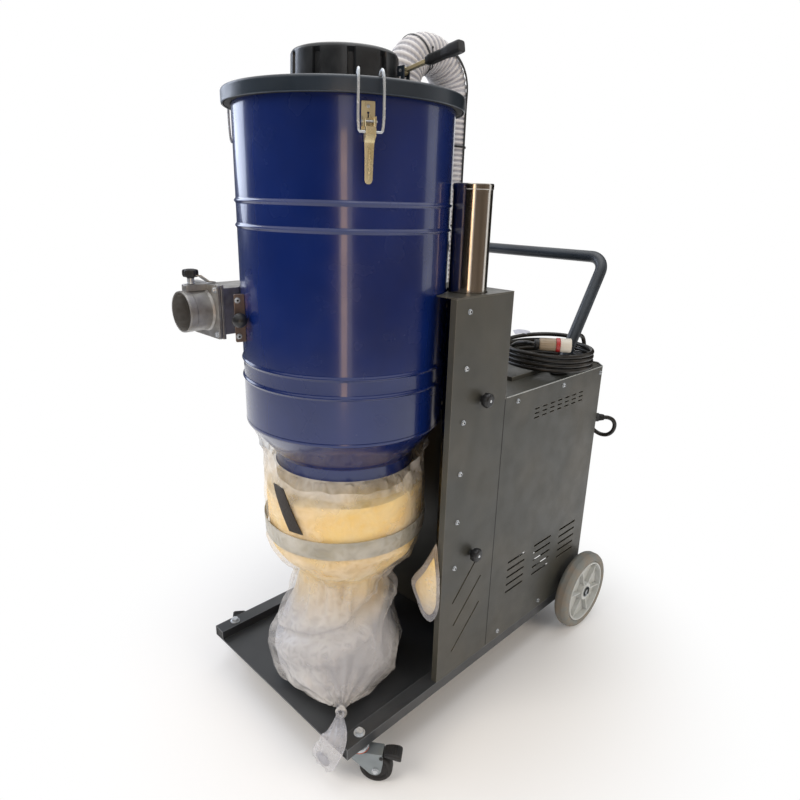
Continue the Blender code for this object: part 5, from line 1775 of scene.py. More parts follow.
@dataclass
class Inlet(Assembly):
    """The dust inlet: pipe, flanges, square duct, bracket and its two knobs."""

    x: float = -0.17
    z: float = 1.02
    mouth: float = -0.5555
    outer: float = 0.044
    bore: float = 0.041
    flange_y: float = -0.5
    duct_back: float = 0.0095   # how far the duct stands forward of the solid one
    flange: float = 0.058
    flange_t: float = 0.007
    bolt: float = 0.0475
    pad_top: float = 1.077
    body: str = "drum"

    def build(self) -> None:
        """Build the castings, their bolts, the bracket and the knobs."""
        self.pipe()
        duct = refine("inlet_adapter", CAST, 0.001)
        for point in duct.data.vertices:
            if point.co.y < -0.4735:
                point.co.y -= self.duct_back
        self.keep(duct, self.body, "cast_aluminium", ["inlet_adapter"])
        self.bolts()
        self.bracket()
        self.star()

    def pipe(self) -> None:
        """Build the pipe with its thick lip, its flange and the pad on top."""
        away = facing((self.x, self.mouth, self.z), (0, 1, 0))
        seam = self.flange_y + self.flange_t - self.mouth
        o, b = self.outer, self.bore
        ring = rounded([(b, 0.0002), (o - 0.0003, 0.0002), (o, 0.004), (o, 0.016),
            (o - 0.0008, 0.018), (o - 0.0008, seam - 0.012), (o + 0.002, seam - 0.008),
            (o + 0.002, seam - 0.0004), (b, seam - 0.0004)], 0.0005, 2, True)
        tube = lathe("tube", ring, CAST, away, 96, ring=True)
        square = [(p.x, p.y) for p in oval(self.flange, self.flange, 0.007, 5)]
        stand = facing((self.x, self.flange_y, self.z), (0, 1, 0))
        face = plate("face", [square, circle(b + 0.001, 64)], self.flange_t - 0.0003, CAST, stand,
            0.0009)
        pad = block("pad", (self.x - 0.0118, self.mouth + 0.0107, self.z + 0.0425),
            (self.x + 0.0118, self.flange_y + 0.001, self.pad_top - 0.0001), CAST, 0.0018)
        self.keep(merge("inlet_casting", [tube, face, pad]), self.body, "cast_aluminium",
            ["inlet_pipe"])
        run = [(self.x + 0.006, -0.524, self.pad_top + 0.0185), (self.x + 0.01, -0.513,
            self.pad_top + 0.0175), (self.x + 0.019, -0.5, self.pad_top + 0.0055),
            (self.x + 0.02, -0.487, self.pad_top + 0.0035)]
        bar = [[Vector(p) + Vector((w.x * 0.95, w.x * 0.3, w.y))
            for w in oval(0.0062, 0.0014, 0.0006, 2)] for p in run]
        self.keep(lofted("inlet_bar", bar, CAST), self.body, "cast_aluminium")

    def bolts(self) -> None:
        """Fit a bolt at each corner of the flanges, with its nut behind."""
        spots = []
        for dx in (-1, 1):
            for dz in (-1, 1):
                at = (self.x + dx * self.bolt, self.z + dz * self.bolt)
                spots.append(((at[0], self.flange_y - 0.0001, at[1]), (0, -1, 0)))
        self.screws("flange_bolts", spots, self.body, Fastener(6, 0.005, 0.0042, 0.0068, 0.001),
            BRIGHT_ZINC, False)

    def bracket(self) -> None:
        """Build the upright bracket on the drum, with its ball knob."""
        azimuth = radians(-106)
        stand = (Matrix.Translation((0, PLAN.drum_y, 1.0135)) @ Matrix.Rotation(azimuth, 4,
            "Z") @ Matrix.Translation((PLAN.drum_r + 0.0005, 0, 0)))
        outline = rounded([(0.0, -0.0505), (0.0215, -0.0505), (0.0215, 0.0505), (0.0, 0.0505)],
            0.003, 3, True)
        lay = stand @ TIPPED @ Matrix.Translation((0, 0, -0.002))
        fin = plate("fin", [outline], 0.004, BROWN_STEEL, lay, 0.0007)
        self.keep(fin, self.body, "polished_steel", ["inlet_bracket"])
        side = stand.to_3x3() @ Vector((0, 1, 0))
        spots = [(stand @ Vector((0.015, 0.0021, z)), side) for z in (-0.038, 0.038)]
        self.screws("bracket_screws", spots, self.body, M5_PAN, BRIGHT_ZINC)
        r = 0.0155
        ball = [(r * cos(a), 0.022 + r * sin(a))
            for a in (pi / 2 - radians(10) * k for k in range(16))]
        ball[0] = (0.0, ball[0][1])
        ball += [(0.0052, 0.0062), (0.0048, 0.0004), (0.0, 0.0004)]
        place = facing(stand @ Vector((0.0175, 0.002, 0)), side)
        self.keep(lathe("ball_knob", ball, BLACK_ABS, place, 56), "inlet_ball_knob",
            "black_plastic", ["inlet_ball_knob"])

    def star(self) -> None:
        """Build the star knob with its collar."""
        def lobes(r: float, height: float, angle: float) -> float:
            return r * (1 + 0.11 * cos(6 * angle)) if r > 0.0095 else r

        foot = Matrix.Translation((self.x, -0.5285, self.pad_top + 0.0003))
        profile = rounded([(0, 0.031), (0.0095, 0.031), (0.0142, 0.0296), (0.015, 0.026), (0.015,
            0.019), (0.0136, 0.0148), (0.008, 0.0138), (0.0075, 0.012), (0.0, 0.012)], 0.0012, 2)
        body = "inlet_star_knob"
        self.keep(lathe("star_knob", profile, BLACK_NYLON, foot, 96, wave=lobes), body,
            "black_plastic", [body])
        collar = rounded([(0.0, 0.0125), (0.0074, 0.0125), (0.0075, 0.003), (0.0084, 0.0024),
            (0.0084, 0.0002), (0.0, 0.0002)], 0.0004, 1)
        self.keep(lathe("star_collar", collar, BRIGHT_ZINC, foot, 40), body)


# ---- hose ---------------------------------------------------------------------------
@dataclass
class SuctionHose(Assembly):
    """The ribbed hose from the lid down into the cabinet, its clips, its ties and its strap."""

    port_y: float = -0.0865
    spigot_y: float = 0.0775
    top: float = 1.4823
    foot: float = 0.8603
    outer: float = 0.0428
    pitch: float = 0.0118
    rib: float = 0.0026
    strap_foot: float = 1.19

    @property
    def crest(self) -> float:
        """Return the height where the bend begins."""
        return self.top + 0.0097

    def bend(self, angle: float) -> tuple[Vector, Vector]:
        """Return a point of the bend's centre line, and the way it runs there."""
        reach = (self.spigot_y - self.port_y) / 2
        return (Vector((0, self.port_y + reach - reach * cos(angle),
            self.crest + reach * sin(angle))), Vector((0, sin(angle), cos(angle))))

    def line(self) -> list[Vector]:
        """Return the hose's centre line from the lid's port to the cabinet."""
        return [Vector((0, self.port_y, self.top)), *(self.bend(pi * k / 40)[0] for k in range(41)),
            Vector((0, self.spigot_y, self.foot))]

    def band(self, name: str, place: Matrix, half: float, gap: float, thickness: float,
            finish: Finish) -> Object:
        """Make a flat band round the hose."""
        r = self.outer + gap
        ring = [(r, -half), (r, half), (r + thickness, half), (r + thickness, -half)]
        return lathe(name, rounded(ring, 0.0004, 1, True), finish, place, 72, ring=True)

    def build(self) -> None:
        """Build the hose, its clips and what is tied to it."""
        run = self.line()
        hose = Trees.get("hose").grow("ribbed_hose", line_curve("hose_line", run), HOSE_VINYL, 80.0,
            Radius=self.outer - self.rib, Rib_depth=self.rib, Pitch=self.pitch, Sides=56)
        tuple(run[0])
        tuple(run[-1])
        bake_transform(hose)
        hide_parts("suction_hose")
        self.clip("hose_clip_top", (0, self.port_y, self.top + 0.004), "drum")
        self.clip("hose_clip_foot", (0, self.spigot_y, self.foot + 0.01), "root")
        self.tie()
        for name, piece in self.strap():
            tuple(run[0])
            tuple(run[-1])
            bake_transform(piece)
            LOG.info("%s bends with the hose", name)

    def clip(self, name: str, at: Point, body: str) -> None:
        """Build a worm-drive clip: its band and its screw housing."""
        place = Matrix.Translation(at)
        r = self.outer + 0.0004
        band = self.band("band", place, 0.0055, 0.0004, 0.001, BRIGHT_ZINC)
        house = block("house", (r - 0.001, -0.0075, -0.006), (r + 0.008, 0.0075, 0.006),
            BRIGHT_ZINC, 0.002, place)
        self.keep(merge(name, [band, house]), body, "polished_steel")
        side = [((at[0] + r + 0.0045, at[1] - 0.0076, at[2]), (0, -1, 0))]
        self.keep(Fastener(6, 0.0035, 0.004, 0.0042, 0.0006).fit(name + "_screw", side,
            BRIGHT_ZINC), body)

    def strap(self) -> Iterable[tuple[str, Object]]:
        """Yield the flat strap down the hose's outer side, and the ties that hold it there."""
        places = []
        for a in (radians(104 + 4 * k) for k in range(20)):
            centre, way = self.bend(a)
            places.append((centre, Vector((0.932, -0.362 * cos(a), 0.362 * sin(a))), way))
        low, count = self.strap_foot, 24
        for k in range(1, count + 1):
            z = self.crest + (low - self.crest) * k / count
            places.append((Vector((0, self.spigot_y, z)), Vector((0.932, 0.362, 0.0)),
                Vector((0, 0, -1))))
        rings = []
        for k, (centre, out, way) in enumerate(places):
            slack = 0.0035 * sin(pi * min(1.0, 2.0 * k / len(places))) ** 2
            across = way.cross(out).normalized()
            middle = centre + out * (self.outer + 0.0012 + slack)
            rings.append(
                [middle + across * p.x + out * p.y for p in oval(0.0046, 0.0008, 0.0005, 2)])
        yield "hose_strap", lofted("hose_strap", rings, BLACK_NYLON)
        for number, z in enumerate((self.crest - 0.108, low + 0.012)):
            place = Matrix.Translation((0, self.spigot_y, z))
            name = f"strap_tie_{number}"
            yield name, self.band(name, place, 0.0022, 0.0022, 0.0014, BLACK_NYLON)

    def tie(self) -> None:
        """Build the cable tie round the hose's bend, with its tail upright."""
        at, way = self.bend(radians(62))
        self.keep(self.band("hose_tie", facing(at, way), 0.0022, 0.0004, 0.0014, BLACK_NYLON),
            "drum")
        tail = [at + Vector(step) for step in ((0.03, 0.0155, -0.03), (0.042, 0.012, -0.026),
            (0.0462, 0.008, -0.012), (0.0468, 0.006, 0.012))]
        self.keep(rod("tie_tail", catmull(tail, 0.003), 0.0012, BLACK_NYLON, 10), "drum")
        knob = [(0.0026 * sin(t), 0.0026 * cos(t)) for t in (pi * k / 10 for k in range(11))]
        knob[0], knob[-1] = (0.0, 0.0026), (0.0, -0.0026)
        self.keep(lathe("tie_ball", knob, BLACK_NYLON, Matrix.Translation(tail[-1]), 20), "drum")


# ---- dust bag -----------------------------------------------------------------------
def between(knots: Sequence[tuple[float, float]], at: float) -> float:
    """Read a smooth curve through (place, value) knots in falling order of place."""
    if at >= knots[0][0]:
        return knots[0][1]
    for k, (a, b) in enumerate(zip(knots, knots[1:])):
        if at >= b[0]:
            before, after = knots[max(k - 1, 0)], knots[min(k + 2, len(knots) - 1)]
            span = b[0] - a[0]
            t = (at - a[0]) / span
            m0 = (b[1] - before[1]) / (b[0] - before[0] or 1) * span
            m1 = (after[1] - a[1]) / (after[0] - a[0] or 1) * span
            return ((2 * t ** 3 - 3 * t * t + 1) * a[1] + (t ** 3 - 2 * t * t + t) * m0
                + (3 * t * t - 2 * t ** 3) * b[1] + (t ** 3 - t * t) * m1)
    return knots[-1][1]


def ease(low: float, high: float, at: float) -> float:
    """Return a smooth step from 0 at low to 1 at high."""
    t = min(1.0, max(0.0, (at - low) / (high - low)))
    return t * t * (3 - 2 * t)


def crumple(point: Vector, size: float, depth: float, seed: float) -> float:
    """Return sharp-ridged folds of a size, from -depth to depth."""
    spot = point / size + Vector((seed, seed * 1.7, -seed))
    return depth * (1 - 2.6 * abs(noise.noise(spot))) + depth * 0.4 * noise.noise(spot * 2.3)


@dataclass
class DustBag(Assembly):
    """The bag sleeve: film round the hopper's outlet, dust in it, a band, and the tied sack below.

    The film is fastened round the hopper's neck, so that it stands off it in radiating folds. It is
    full of dust below, gathered in at the waist, and spreads again to a sack on the tray, tied off
    in a knot whose tail hangs over the tray's front.
    """

    profile: tuple[tuple[float, float], ...] = ((0.76, 0.223), (0.745, 0.2135), (0.72, 0.201),
        (0.7, 0.1925), (0.688, 0.19), (0.665, 0.1915), (0.64, 0.194), (0.6, 0.1965), (0.56, 0.1965),
        (0.51, 0.1955), (0.475, 0.192), (0.44, 0.18), (0.41, 0.159), (0.385, 0.134), (0.362, 0.117),
        (0.34, 0.116), (0.31, 0.124), (0.27, 0.14), (0.22, 0.155), (0.17, 0.162), (0.135, 0.159),
        (0.112, 0.147), (0.099, 0.125))
    upper: tuple[float, float] = (0.0, -0.2465)
    lower: tuple[float, float] = (0.03, -0.2975)
    floor: float = 0.0985
    waist: float = 0.352
    knot_angle: float = radians(-37)
    knot_z: float = 0.125
    front: float = radians(-40)
    rings: int = 190
    sides: int = 300
    drop: float = 0.679

    def centre(self, z: float) -> tuple[float, float]:
        """Return the bag's centre at a height."""
        t = 1 - ease(0.22, 0.4, z)
        return tuple(a + (b - a) * t for a, b in zip(self.upper, self.lower))

    def top(self, angle: float) -> float:
        """Return the height of the film's top edge: low at the front, with ears at both sides."""
        away = abs((angle - self.front + pi) % tau - pi)
        lift = ease(radians(34), radians(80), away)
        wave = 0.006 * sin(7 * angle + 1.0) + 0.004 * sin(17 * angle)
        return 0.65 + 0.082 * lift + wave * (0.5 + lift) + 0.018 * max(0.0,
            cos(2 * (angle - self.front) + pi)) ** 6

    def skin(self, z: float, angle: float, inset: float = 0.0, folds: float = 1.0) -> Vector:
        """Return a point of the film.

        Args:
            z: The height.
            angle: The way round from +X.
            inset: How far inside the film.
            folds: The share of the folds' depth.

        Returns:
            The point.
        """
        x0, y0 = self.centre(z)
        r = between(self.profile, z)
        flat = Vector((x0 + r * cos(angle), y0 + r * sin(angle), z))
        # pleats under the hopper, radiating from its neck
        neck = ease(0.6, 0.672, z)
        shift = neck * (0.004 * sin(13 * angle + 2.2 * sin(3 * angle))
            + 0.0022 * sin(29 * angle + z * 60))
        # gathers at the waist
        pinch = max(0.0, 1 - ((z - self.waist) / 0.06) ** 2)
        shift += pinch * (0.0052 * sin(17 * angle + 1.6 * sin(2 * angle))
            + 0.003 * sin(31 * angle + 40 * z))
        # slack film below the band
        slack = 1 - ease(0.47, 0.49, z)
        shift += slack * crumple(flat, 0.095, 0.0075, 3.1) + slack * crumple(flat, 0.04, 0.0015,
            7.7)
        shift += (1 - slack) * crumple(flat, 0.12, 0.0016, 1.3)
        shift += neck * crumple(flat, 0.045, 0.0032, 5.9)
        # the sack's own folds
        low = 1 - ease(0.33, 0.4, z)
        belt = 0.288 + 0.062 * sin(angle - self.front) + 0.01 * sin(3 * angle)
        shift -= low * 0.017 * 2.7 ** (-((z - belt) / 0.011) ** 2)
        shift += low * 0.012 * 2.7 ** (-((z - belt + 0.034) / 0.024) ** 2)
        ridge_z = 0.35 - 0.225 * ease(0, radians(78), radians(34) - angle)
        across = (z - ridge_z) * cos(0.9)
        if radians(-40) < angle < radians(40) or angle > tau - radians(40):
            shift += low * 0.012 * 2.7 ** (-(across / 0.016) ** 2)
        # pleats that fan out from the knot
        dz, da = z - self.knot_z, ((angle - self.knot_angle + pi) % tau - pi) * r
        far = hypot(dz, da)
        fan = atan2(dz, da)
        shift += 0.0062 * sin(15 * fan
            + 1.3 * sin(4 * fan)) * 2.7 ** (-(far / 0.095) ** 1.5) * ease(0.0, 0.02, far)
        # the film is drawn out towards the knot
        r += shift * folds + 0.026 * 2.7 ** (-(far / 0.04) ** 1.4)
        r = max(r - inset, 0.004)
        return Vector((x0 + r * cos(angle), y0 + r * sin(angle), z))

    def build(self) -> None:
        """Build the film, the dust, the band, the strap, the tail and the column's film."""
        self.film()
        self.collar()
        self.dust()
        self.band()
        self.webbing()
        self.tail()
        self.flap()

    def settle(self, obj: Object, slot: str, stands_for: Sequence[str] = ()) -> None:
        """Keep a piece of the bag on the root, with its own copy of its mesh."""
        self.keep(obj, "root", slot, stands_for, hard=False)
        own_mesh(obj)

    def film(self) -> None:
        """Build the film from its wavy top edge to the sack's floor, closed there."""
        def at(share: float, angle: float) -> Vector:
            top = self.top(angle)
            return self.skin(top + (self.floor - top) * share, angle)

        n = self.sides
        verts, faces = tube(self.rings, n, at)
        pole = len(verts)
        verts.append((*self.lower, self.floor))
        faces += [[self.rings * n + j, self.rings * n + (j + 1) % n, pole] for j in range(n)]
        self.settle(make("bag_film", verts, faces, FILM, 80.0), "bag_film",
            ["dust_bag_upper", "dust_bag_lower"])

    def collar(self) -> None:
        """Build the film gathered round the hopper's neck, in radiating pleats."""
        def at(t: float, a: float) -> Point:
            pleat = sin(pi * min(1.0, t * 1.15)) ** 0.8
            fan = 0.006 * sin(23 * a + 2.4 * sin(3 * a)) + 0.0035 * sin(47 * a + 3.0 * sin(5 * a))
            fold = crumple(Vector((cos(a), sin(a), t * 0.2)), 0.22, 0.0035, 8.3)
            wall = self.skin(0.64, a, 0.0016, 0.8)
            x0, y0 = self.upper
            outer = hypot(wall.x - x0, wall.y - y0)
            r = outer + (0.17 - outer) * t
            z = 0.632 + 0.036 * t ** 0.8 + fan * pleat + fold * pleat
            return x0 + r * cos(a), y0 + r * sin(a), z

        self.settle(make("bag_collar", *tube(16, 360, at), FILM, 80.0), "bag_film")

    def dust(self) -> None:
        """Build the dust inside, banked up to one side."""
        rings, sides, top = 110, 160, 0.608

        def at(share: float, a: float) -> Vector:
            crest = top + 0.01 * cos(a - 0.6) + 0.003 * sin(5 * a)
            z = crest + (self.floor + 0.004 - crest) * share
            inset = 0.0065 + 0.004 * ease(0.47, 0.4, z) if z < 0.47 else 0.0065
            return self.skin(z, a, inset, 0.55)

        verts, faces = tube(rings, sides, at)
        head, foot = len(verts), len(verts) + 1
        verts += [(*self.upper, top + 0.012), (*self.lower, self.floor + 0.004)]
        faces += [[j, (j + 1) % sides, head] for j in range(sides)]
        faces += [[rings * sides + j, rings * sides + (j + 1) % sides, foot] for j in range(sides)]
        self.settle(make("bag_dust", verts, faces, DUST, 80.0), "bag_film")

    def band(self) -> None:
        """Build the wide vinyl band round the full part."""
        rings = []
        for j in range(240):
            a = tau * j / 240
            tilt = 0.005 * cos(a - radians(50))
            section = []
            for z, out in ((0.532, 0.0005), (0.5316, 0.0022), (0.52, 0.0026), (0.5, 0.0026),
                    (0.4874, 0.0022), (0.487, 0.0005)):
                point = self.skin(z + tilt, a, 0.0, 0.4)
                section.append(point + Vector((cos(a), sin(a), 0)) * (out + 0.0012))
            rings.append(section)
        self.settle(lofted("bag_band", rings, BAND, loop=True, crease=60), "bag_film")

    def webbing(self) -> None:
        """Build the dark strap stuck on the film above the band."""
        rows = 26
        rings = []
        for k in range(rows + 1):
            t = k / rows
            z = 0.642 - 0.099 * t
            left, right = radians(-94.5 + 16.0 * t), radians(-83.5 + 15.5 * t)
            section = []
            for out in (0.0055, 0.0035):
                sweep = range(9) if out > 0.004 else range(8, -1, -1)
                for n in sweep:
                    a = left + (right - left) * n / 8
                    point = self.skin(z, a, 0.0, 0.25)
                    section.append(point + Vector((cos(a), sin(a), 0)) * out)
            rings.append(section)
        self.settle(lofted("bag_strap", rings, NYLON_WEB, crease=60), "black_plastic")

    def tail(self) -> None:
        """Build the knot, and the tail that hangs over the tray's front and flares out."""
        knot = Vector((0.19, -0.419, 0.122))
        line = [knot + Vector((-0.02, 0.016, 0.006)), knot, knot + Vector((0.012, -0.014, 0.01)),
            Vector((0.222, -0.456, 0.136)), Vector((0.24, -0.479, 0.135)),
            Vector((0.244, -0.49, 0.118)), Vector((0.232, -0.4935, 0.088)),
            Vector((0.217, -0.4945, 0.06)), Vector((0.209, -0.4945, 0.042))]
        half = [0.015, 0.0085, 0.0075, 0.018, 0.028, 0.03, 0.031, 0.0325, 0.025]
        thick = [0.015, 0.0085, 0.0065, 0.0055, 0.0045, 0.0042, 0.0045, 0.006, 0.004]
        run = catmull(line, 0.0028)
        marks = [0.0]
        for a, b in zip(line, line[1:]):
            marks.append(marks[-1] + (b - a).length)
        rings, count = [], 64
        for k, here in enumerate(run):
            at = marks[-1] * k / (len(run) - 1)
            wide = between([(-m, h) for m, h in zip(marks, half)], -at)
            deep = between([(-m, h) for m, h in zip(marks, thick)], -at)
            way = (run[min(k + 1, len(run) - 1)] - run[max(k - 1, 0)]).normalized()
            side = way.cross(Vector((0.35, -0.8, 0.5))).normalized()
            face = side.cross(way).normalized()
            ring = []
            for j in range(count):
                a = tau * j / count
                pleat = 1 + 0.28 * sin(11 * a + 0.8 * sin(at * 60)) + 0.25 * crumple(
                    Vector((cos(a), sin(a), at * 30)), 0.9, 0.8, 2.0)
                hem = 0.004 * sin(5 * a + 1) * ease(0.8 * marks[-1], marks[-1], at)
                ring.append(here + side * wide * cos(a) * (1 + 0.06 * sin(9 * a + at * 50))
                    + face * deep * sin(a) * pleat + way * hem)
            rings.append(ring)
        self.keep(lofted("bag_tail", rings, CLEAR_FILM, crease=70), "root", "bag_film")
        wraps = []
        for turn, tilt in ((0.0, 0.5), (0.0035, -0.4), (-0.0035, 0.2)):
            loop = []
            for j in range(40):
                a = tau * j / 40
                r = 0.0098 + 0.0012 * sin(3 * a + tilt * 4)
                loop.append((r * cos(a), r * sin(a), turn + 0.003 * sin(a + tilt * 3)))
            place = facing(knot, (0.62, -0.7, 0.36))
            wraps.append(rod("wrap", [place @ Vector(p) for p in loop], 0.0036, FILM, 14, True))
        self.keep(merge("bag_knot", wraps), "root", "bag_film")
        plug = (run[-14], run[-9], run[-5], run[-3])
        rings = []
        for k, (spot, wide, deep) in enumerate(zip(plug, (0.01, 0.022, 0.02, 0.008),
                (0.0012, 0.0028, 0.0028, 0.001))):
            rings.append([(spot[0] + wide * cos(a) * (1 + 0.1 * sin(5 * a)), spot[1] + deep * sin(
                a), spot[2] + 0.004 * sin(3 * a + k)) for a in (tau * j / 28 for j in range(28))])
        self.keep(lofted("tail_dust", rings, DUST, crease=60), "root")

    def flap(self) -> None:
        """Build the small film pouch with dust in it, which hangs on the column's edge."""
        outline = catmull([(0.266, 0.512), (0.23, 0.44), (0.193, 0.378), (0.212, 0.335), (0.234,
            0.3), (0.262, 0.296), (0.283, 0.34), (0.2835, 0.4), (0.28, 0.44), (0.27, 0.5)], 0.012)
        middle = Vector((0.246, 0.36))
        for name, finish, scale, bulge, levels in (("column_film", CLEAR_FILM, 1.0, 0.013, 14),
                ("column_film_dust", DUST, 0.74, 0.0085, 10)):
            verts, rows = [], []
            for face in (1, -1):
                for k in range(1, levels + 1):
                    rho = k / levels
                    if face < 0 and k == levels:
                        continue
                    row = []
                    for p in outline:
                        flat = middle + (Vector(p) - middle) * rho * scale
                        fold = crumple(Vector((flat.x, 0.1 * face, flat.y)), 0.03, 0.0022,
                            4.4) * (1 - rho ** 4)
                        y = -0.199 - face * (bulge * (1 - rho ** 2) ** 0.7 + fold)
                        row.append(len(verts))
                        verts.append((flat.x, min(y, -0.1925), flat.y))
                    rows.append((face, row))
            n = len(outline)
            poles = []
            for face in (1, -1):
                poles.append(len(verts))
                verts.append((middle.x, min(-0.199 - face * bulge, -0.1925), middle.y))
            front = [row for face, row in rows if face > 0]
            back = [row for face, row in rows if face < 0] + [front[-1]]
            faces = []
            for stack, pole in ((front, poles[0]), (back, poles[1])):
                faces += [[pole, stack[0][j], stack[0][(j + 1) % n]] for j in range(n)]
                for inner, outer in zip(stack, stack[1:]):
                    faces += [[inner[j], inner[(j + 1) % n], outer[(j + 1) % n], outer[j]]
                        for j in range(n)]
            self.keep(make(name, verts, faces, finish, 75.0), "root", "bag_film")


# ---- power cord ---------------------------------------------------------------------
@dataclass
class PowerCord(Assembly):
    """The mains lead: gland, route up the cabinet's back, coil in the cord tray, plug and tag."""

    gland: tuple[float, float, float] = (0.2665, 0.4915, 0.66)
    gland_length: float = 0.03
    radius: float = 0.006
    coil: tuple[float, float] = (0.17, 0.3525)
    outer_r: float = 0.1215
    inner_r: float = 0.1045
    join_r: float = 0.1115
    plug_turn: float = radians(38)
    plug_length: float = 0.095
    plug_z: float = 0.9053

    def route(self) -> list[Vector]:
        """Return the points of the lead outside the coil, from the gland's tip to the join."""
        out = Vector((1, 1, 0)).normalized()
        x, y, z = tip = Vector(self.gland) + out * (self.gland_length + 0.0006)
        back = PLAN.cabinet_back + 0.008
        join = Vector((self.coil[0], self.coil[1] + self.join_r, 0.8923))
        points = [tip, (x + .010, y + .010, z - .001), (x + .020, y + .019, z - .008), (x + .024,
            y + .026, z - .024), (x + .018, y + .030, z - .046), (x + .002, y + .030, z - .062),
            (x - .020, y + .026, z - .064), (x - .042, y + .018, z - .050),
            (x - .060, y + .008, z - .020), (x - .072, back, z + .030), (x - .080, back, z + .090),
            (x - .086, back, z + .150), (x - .092, back, z + .200),
            (x - .099, back - .003, z + .226), (join.x + .018, join.y + .018, join.z + .004), join]
        return [Vector(p) for p in points]

    def winding(self) -> list[Vector]:
        """Return the coil's points: down its outer column, up its inner one, to the plug."""
        points: list[Vector] = []
        stages = ((120, self.join_r, self.outer_r, 0.8923, 0.8803), (1260, self.outer_r,
            self.outer_r, 0.8803, 0.8362), (90, self.outer_r, self.inner_r, 0.8362, 0.8362),
            (432, self.inner_r, self.inner_r, 0.8362, 0.8513),
            (84, self.inner_r, 0.115, 0.8513, self.plug_z))
        angle = 90.0
        for number, (sweep, r0, r1, z0, z1) in enumerate(stages):
            steps = max(4, round(sweep / 6))
            for k in range(1, steps + 1):
                t = k / steps
                s = t * t * (3 - 2 * t) if number != 1 and number != 3 else t
                grown = ease(0.5, 1.0, t) if number == 4 else s
                a, r = radians(angle + sweep * t), r0 + (r1 - r0) * grown
                points.append(Vector(
                    (self.coil[0] + r * cos(a), self.coil[1] + r * sin(a), z0 + (z1 - z0) * s)))
            angle += sweep
        return points

    def plug_place(self) -> Matrix:
        """Return the plug's place: +Z along it, from the cord's entry."""
        along = Vector((cos(self.plug_turn), sin(self.plug_turn), 0))
        side = Vector((sin(self.plug_turn), -cos(self.plug_turn), 0))
        middle = Vector((*self.coil, self.plug_z)) + side * 0.1055
        return facing(middle - along * self.plug_length / 2, along)

    def build(self) -> None:
        """Build the cord first, and then what is on it."""
        place = self.plug_place()
        entry = place @ Vector((0, 0, -0.0003))
        along = (place.to_3x3() @ Vector((0, 0, 1))).normalized()
        path = catmull(self.route(), 0.006)
        path += self.winding()
        path = [p for p in path if (p - entry).length > 0.012] + [entry - along * 0.006, entry]
        smooth = catmull(path, 0.0055)
        cord = rod("mains_cord", smooth, self.radius, CORD_RUBBER, 16)
        self.keep(cord, slot="cord_rubber", stands_for=["power_cord", "power_cord_coil"])
        plug = self.plug(place)
        relief = self.relief()
        self.tag()

    def relief(self) -> Object:
        """Build the ribbed gland that the cord comes out of."""
        place = facing(self.gland, (1, 1, 0))
        profile = [(0.0066, 0.03), (0.0082, 0.0298)]
        for k in range(5):
            z = 0.0285 - 0.003 * k
            r = 0.0084 + 0.00045 * k
            profile += [(r + 0.0006, z), (r + 0.0006, z - 0.0014), (r - 0.0004, z - 0.0019),
                (r - 0.0004, z - 0.0026)]
        profile += [(0.013, 0.0132), (0.0138, 0.012), (0.0138, 0.0045), (0.013, 0.0034),
            (0.016, 0.0032), (0.0163, 0.001), (0.0163, 0.0001), (0.0066, 0.0001)]

        def flats(r: float, height: float, angle: float) -> float:
            if 0.004 < height < 0.0125 and r > 0.0125:
                return r * (cos(pi / 6) / cos((angle % (pi / 3)) - pi / 6)) * 1.04
            return r

        gland = lathe("cord_gland", profile, BLACK_NYLON, place, 96, ring=True, wave=flats)
        return self.keep(gland, slot="black_plastic", stands_for=["power_gland"])

    def plug(self, place: Matrix) -> list[Object]:
        """Build the plug: its nut, its grip, its coloured ring, its skirt and its pins."""
        end = self.plug_length
        nut = rounded([(0.0064, 0.0002), (0.0105, 0.0002), (0.0125, 0.003), (0.013, 0.012),
            (0.0064, 0.012)], 0.001, 2, True)
        body = rounded([(0.0064, 0.0121), (0.014, 0.0121), (0.0158, 0.016), (0.0165, 0.03),
            (0.0172, 0.0545), (0.0172, 0.055), (0.0064, 0.055)], 0.001, 2, True)
        ring = rounded([(0.0064, 0.0552), (0.0184, 0.0552), (0.0188, 0.057), (0.0188, 0.064),
            (0.0184, 0.066), (0.0064, 0.066)], 0.0006, 2, True)
        skirt = rounded([(0.0064, 0.0662), (0.0178, 0.0662), (0.0184, 0.068),
            (0.0186, end - 0.0012), (0.018, end - 0.0002), (0.0166, end - 0.0002), (0.0162, 0.072),
            (0.0064, 0.072)], 0.0005, 2, True)

        def ribs(r: float, height: float, angle: float) -> float:
            return r - 0.0006 * (1 + cos(16 * angle)) / 2 if r > 0.0155 and height < 0.054 else r

        pieces = [lathe("plug_nut", nut, BLACK_NYLON, place, 48, ring=True),
            lathe("plug_grip", body, BEIGE_PLASTIC, place, 128, ring=True, wave=ribs),
            lathe("plug_ring", ring, RED_PLASTIC, place, 72, ring=True),
            lathe("plug_skirt", skirt, CREAM_PLASTIC, place, 72, ring=True)]
        pins = []
        for k in range(3):
            a = tau * k / 3 + 0.4
            pins.append(rod("pin", [place @ Vector((0.0085 * cos(a), 0.0085 * sin(a), z))
                for z in (0.0715, 0.089)], 0.0022, YELLOW_ZINC, 14))
        core = lathe("core", rounded([(0, 0.0718), (0.0066, 0.0718), (0.0066, 0.056), (0, 0.056)],
            0.0003, 1), CREAM_PLASTIC, place, 32)
        for number, piece in enumerate(pieces):
            self.keep(piece, slot="beige_plug", stands_for=["power_plug"] if number == 1 else [])
        core.name = "plug_core"
        return [*pieces, self.keep(merge("plug_pins", pins)), self.keep(core)]

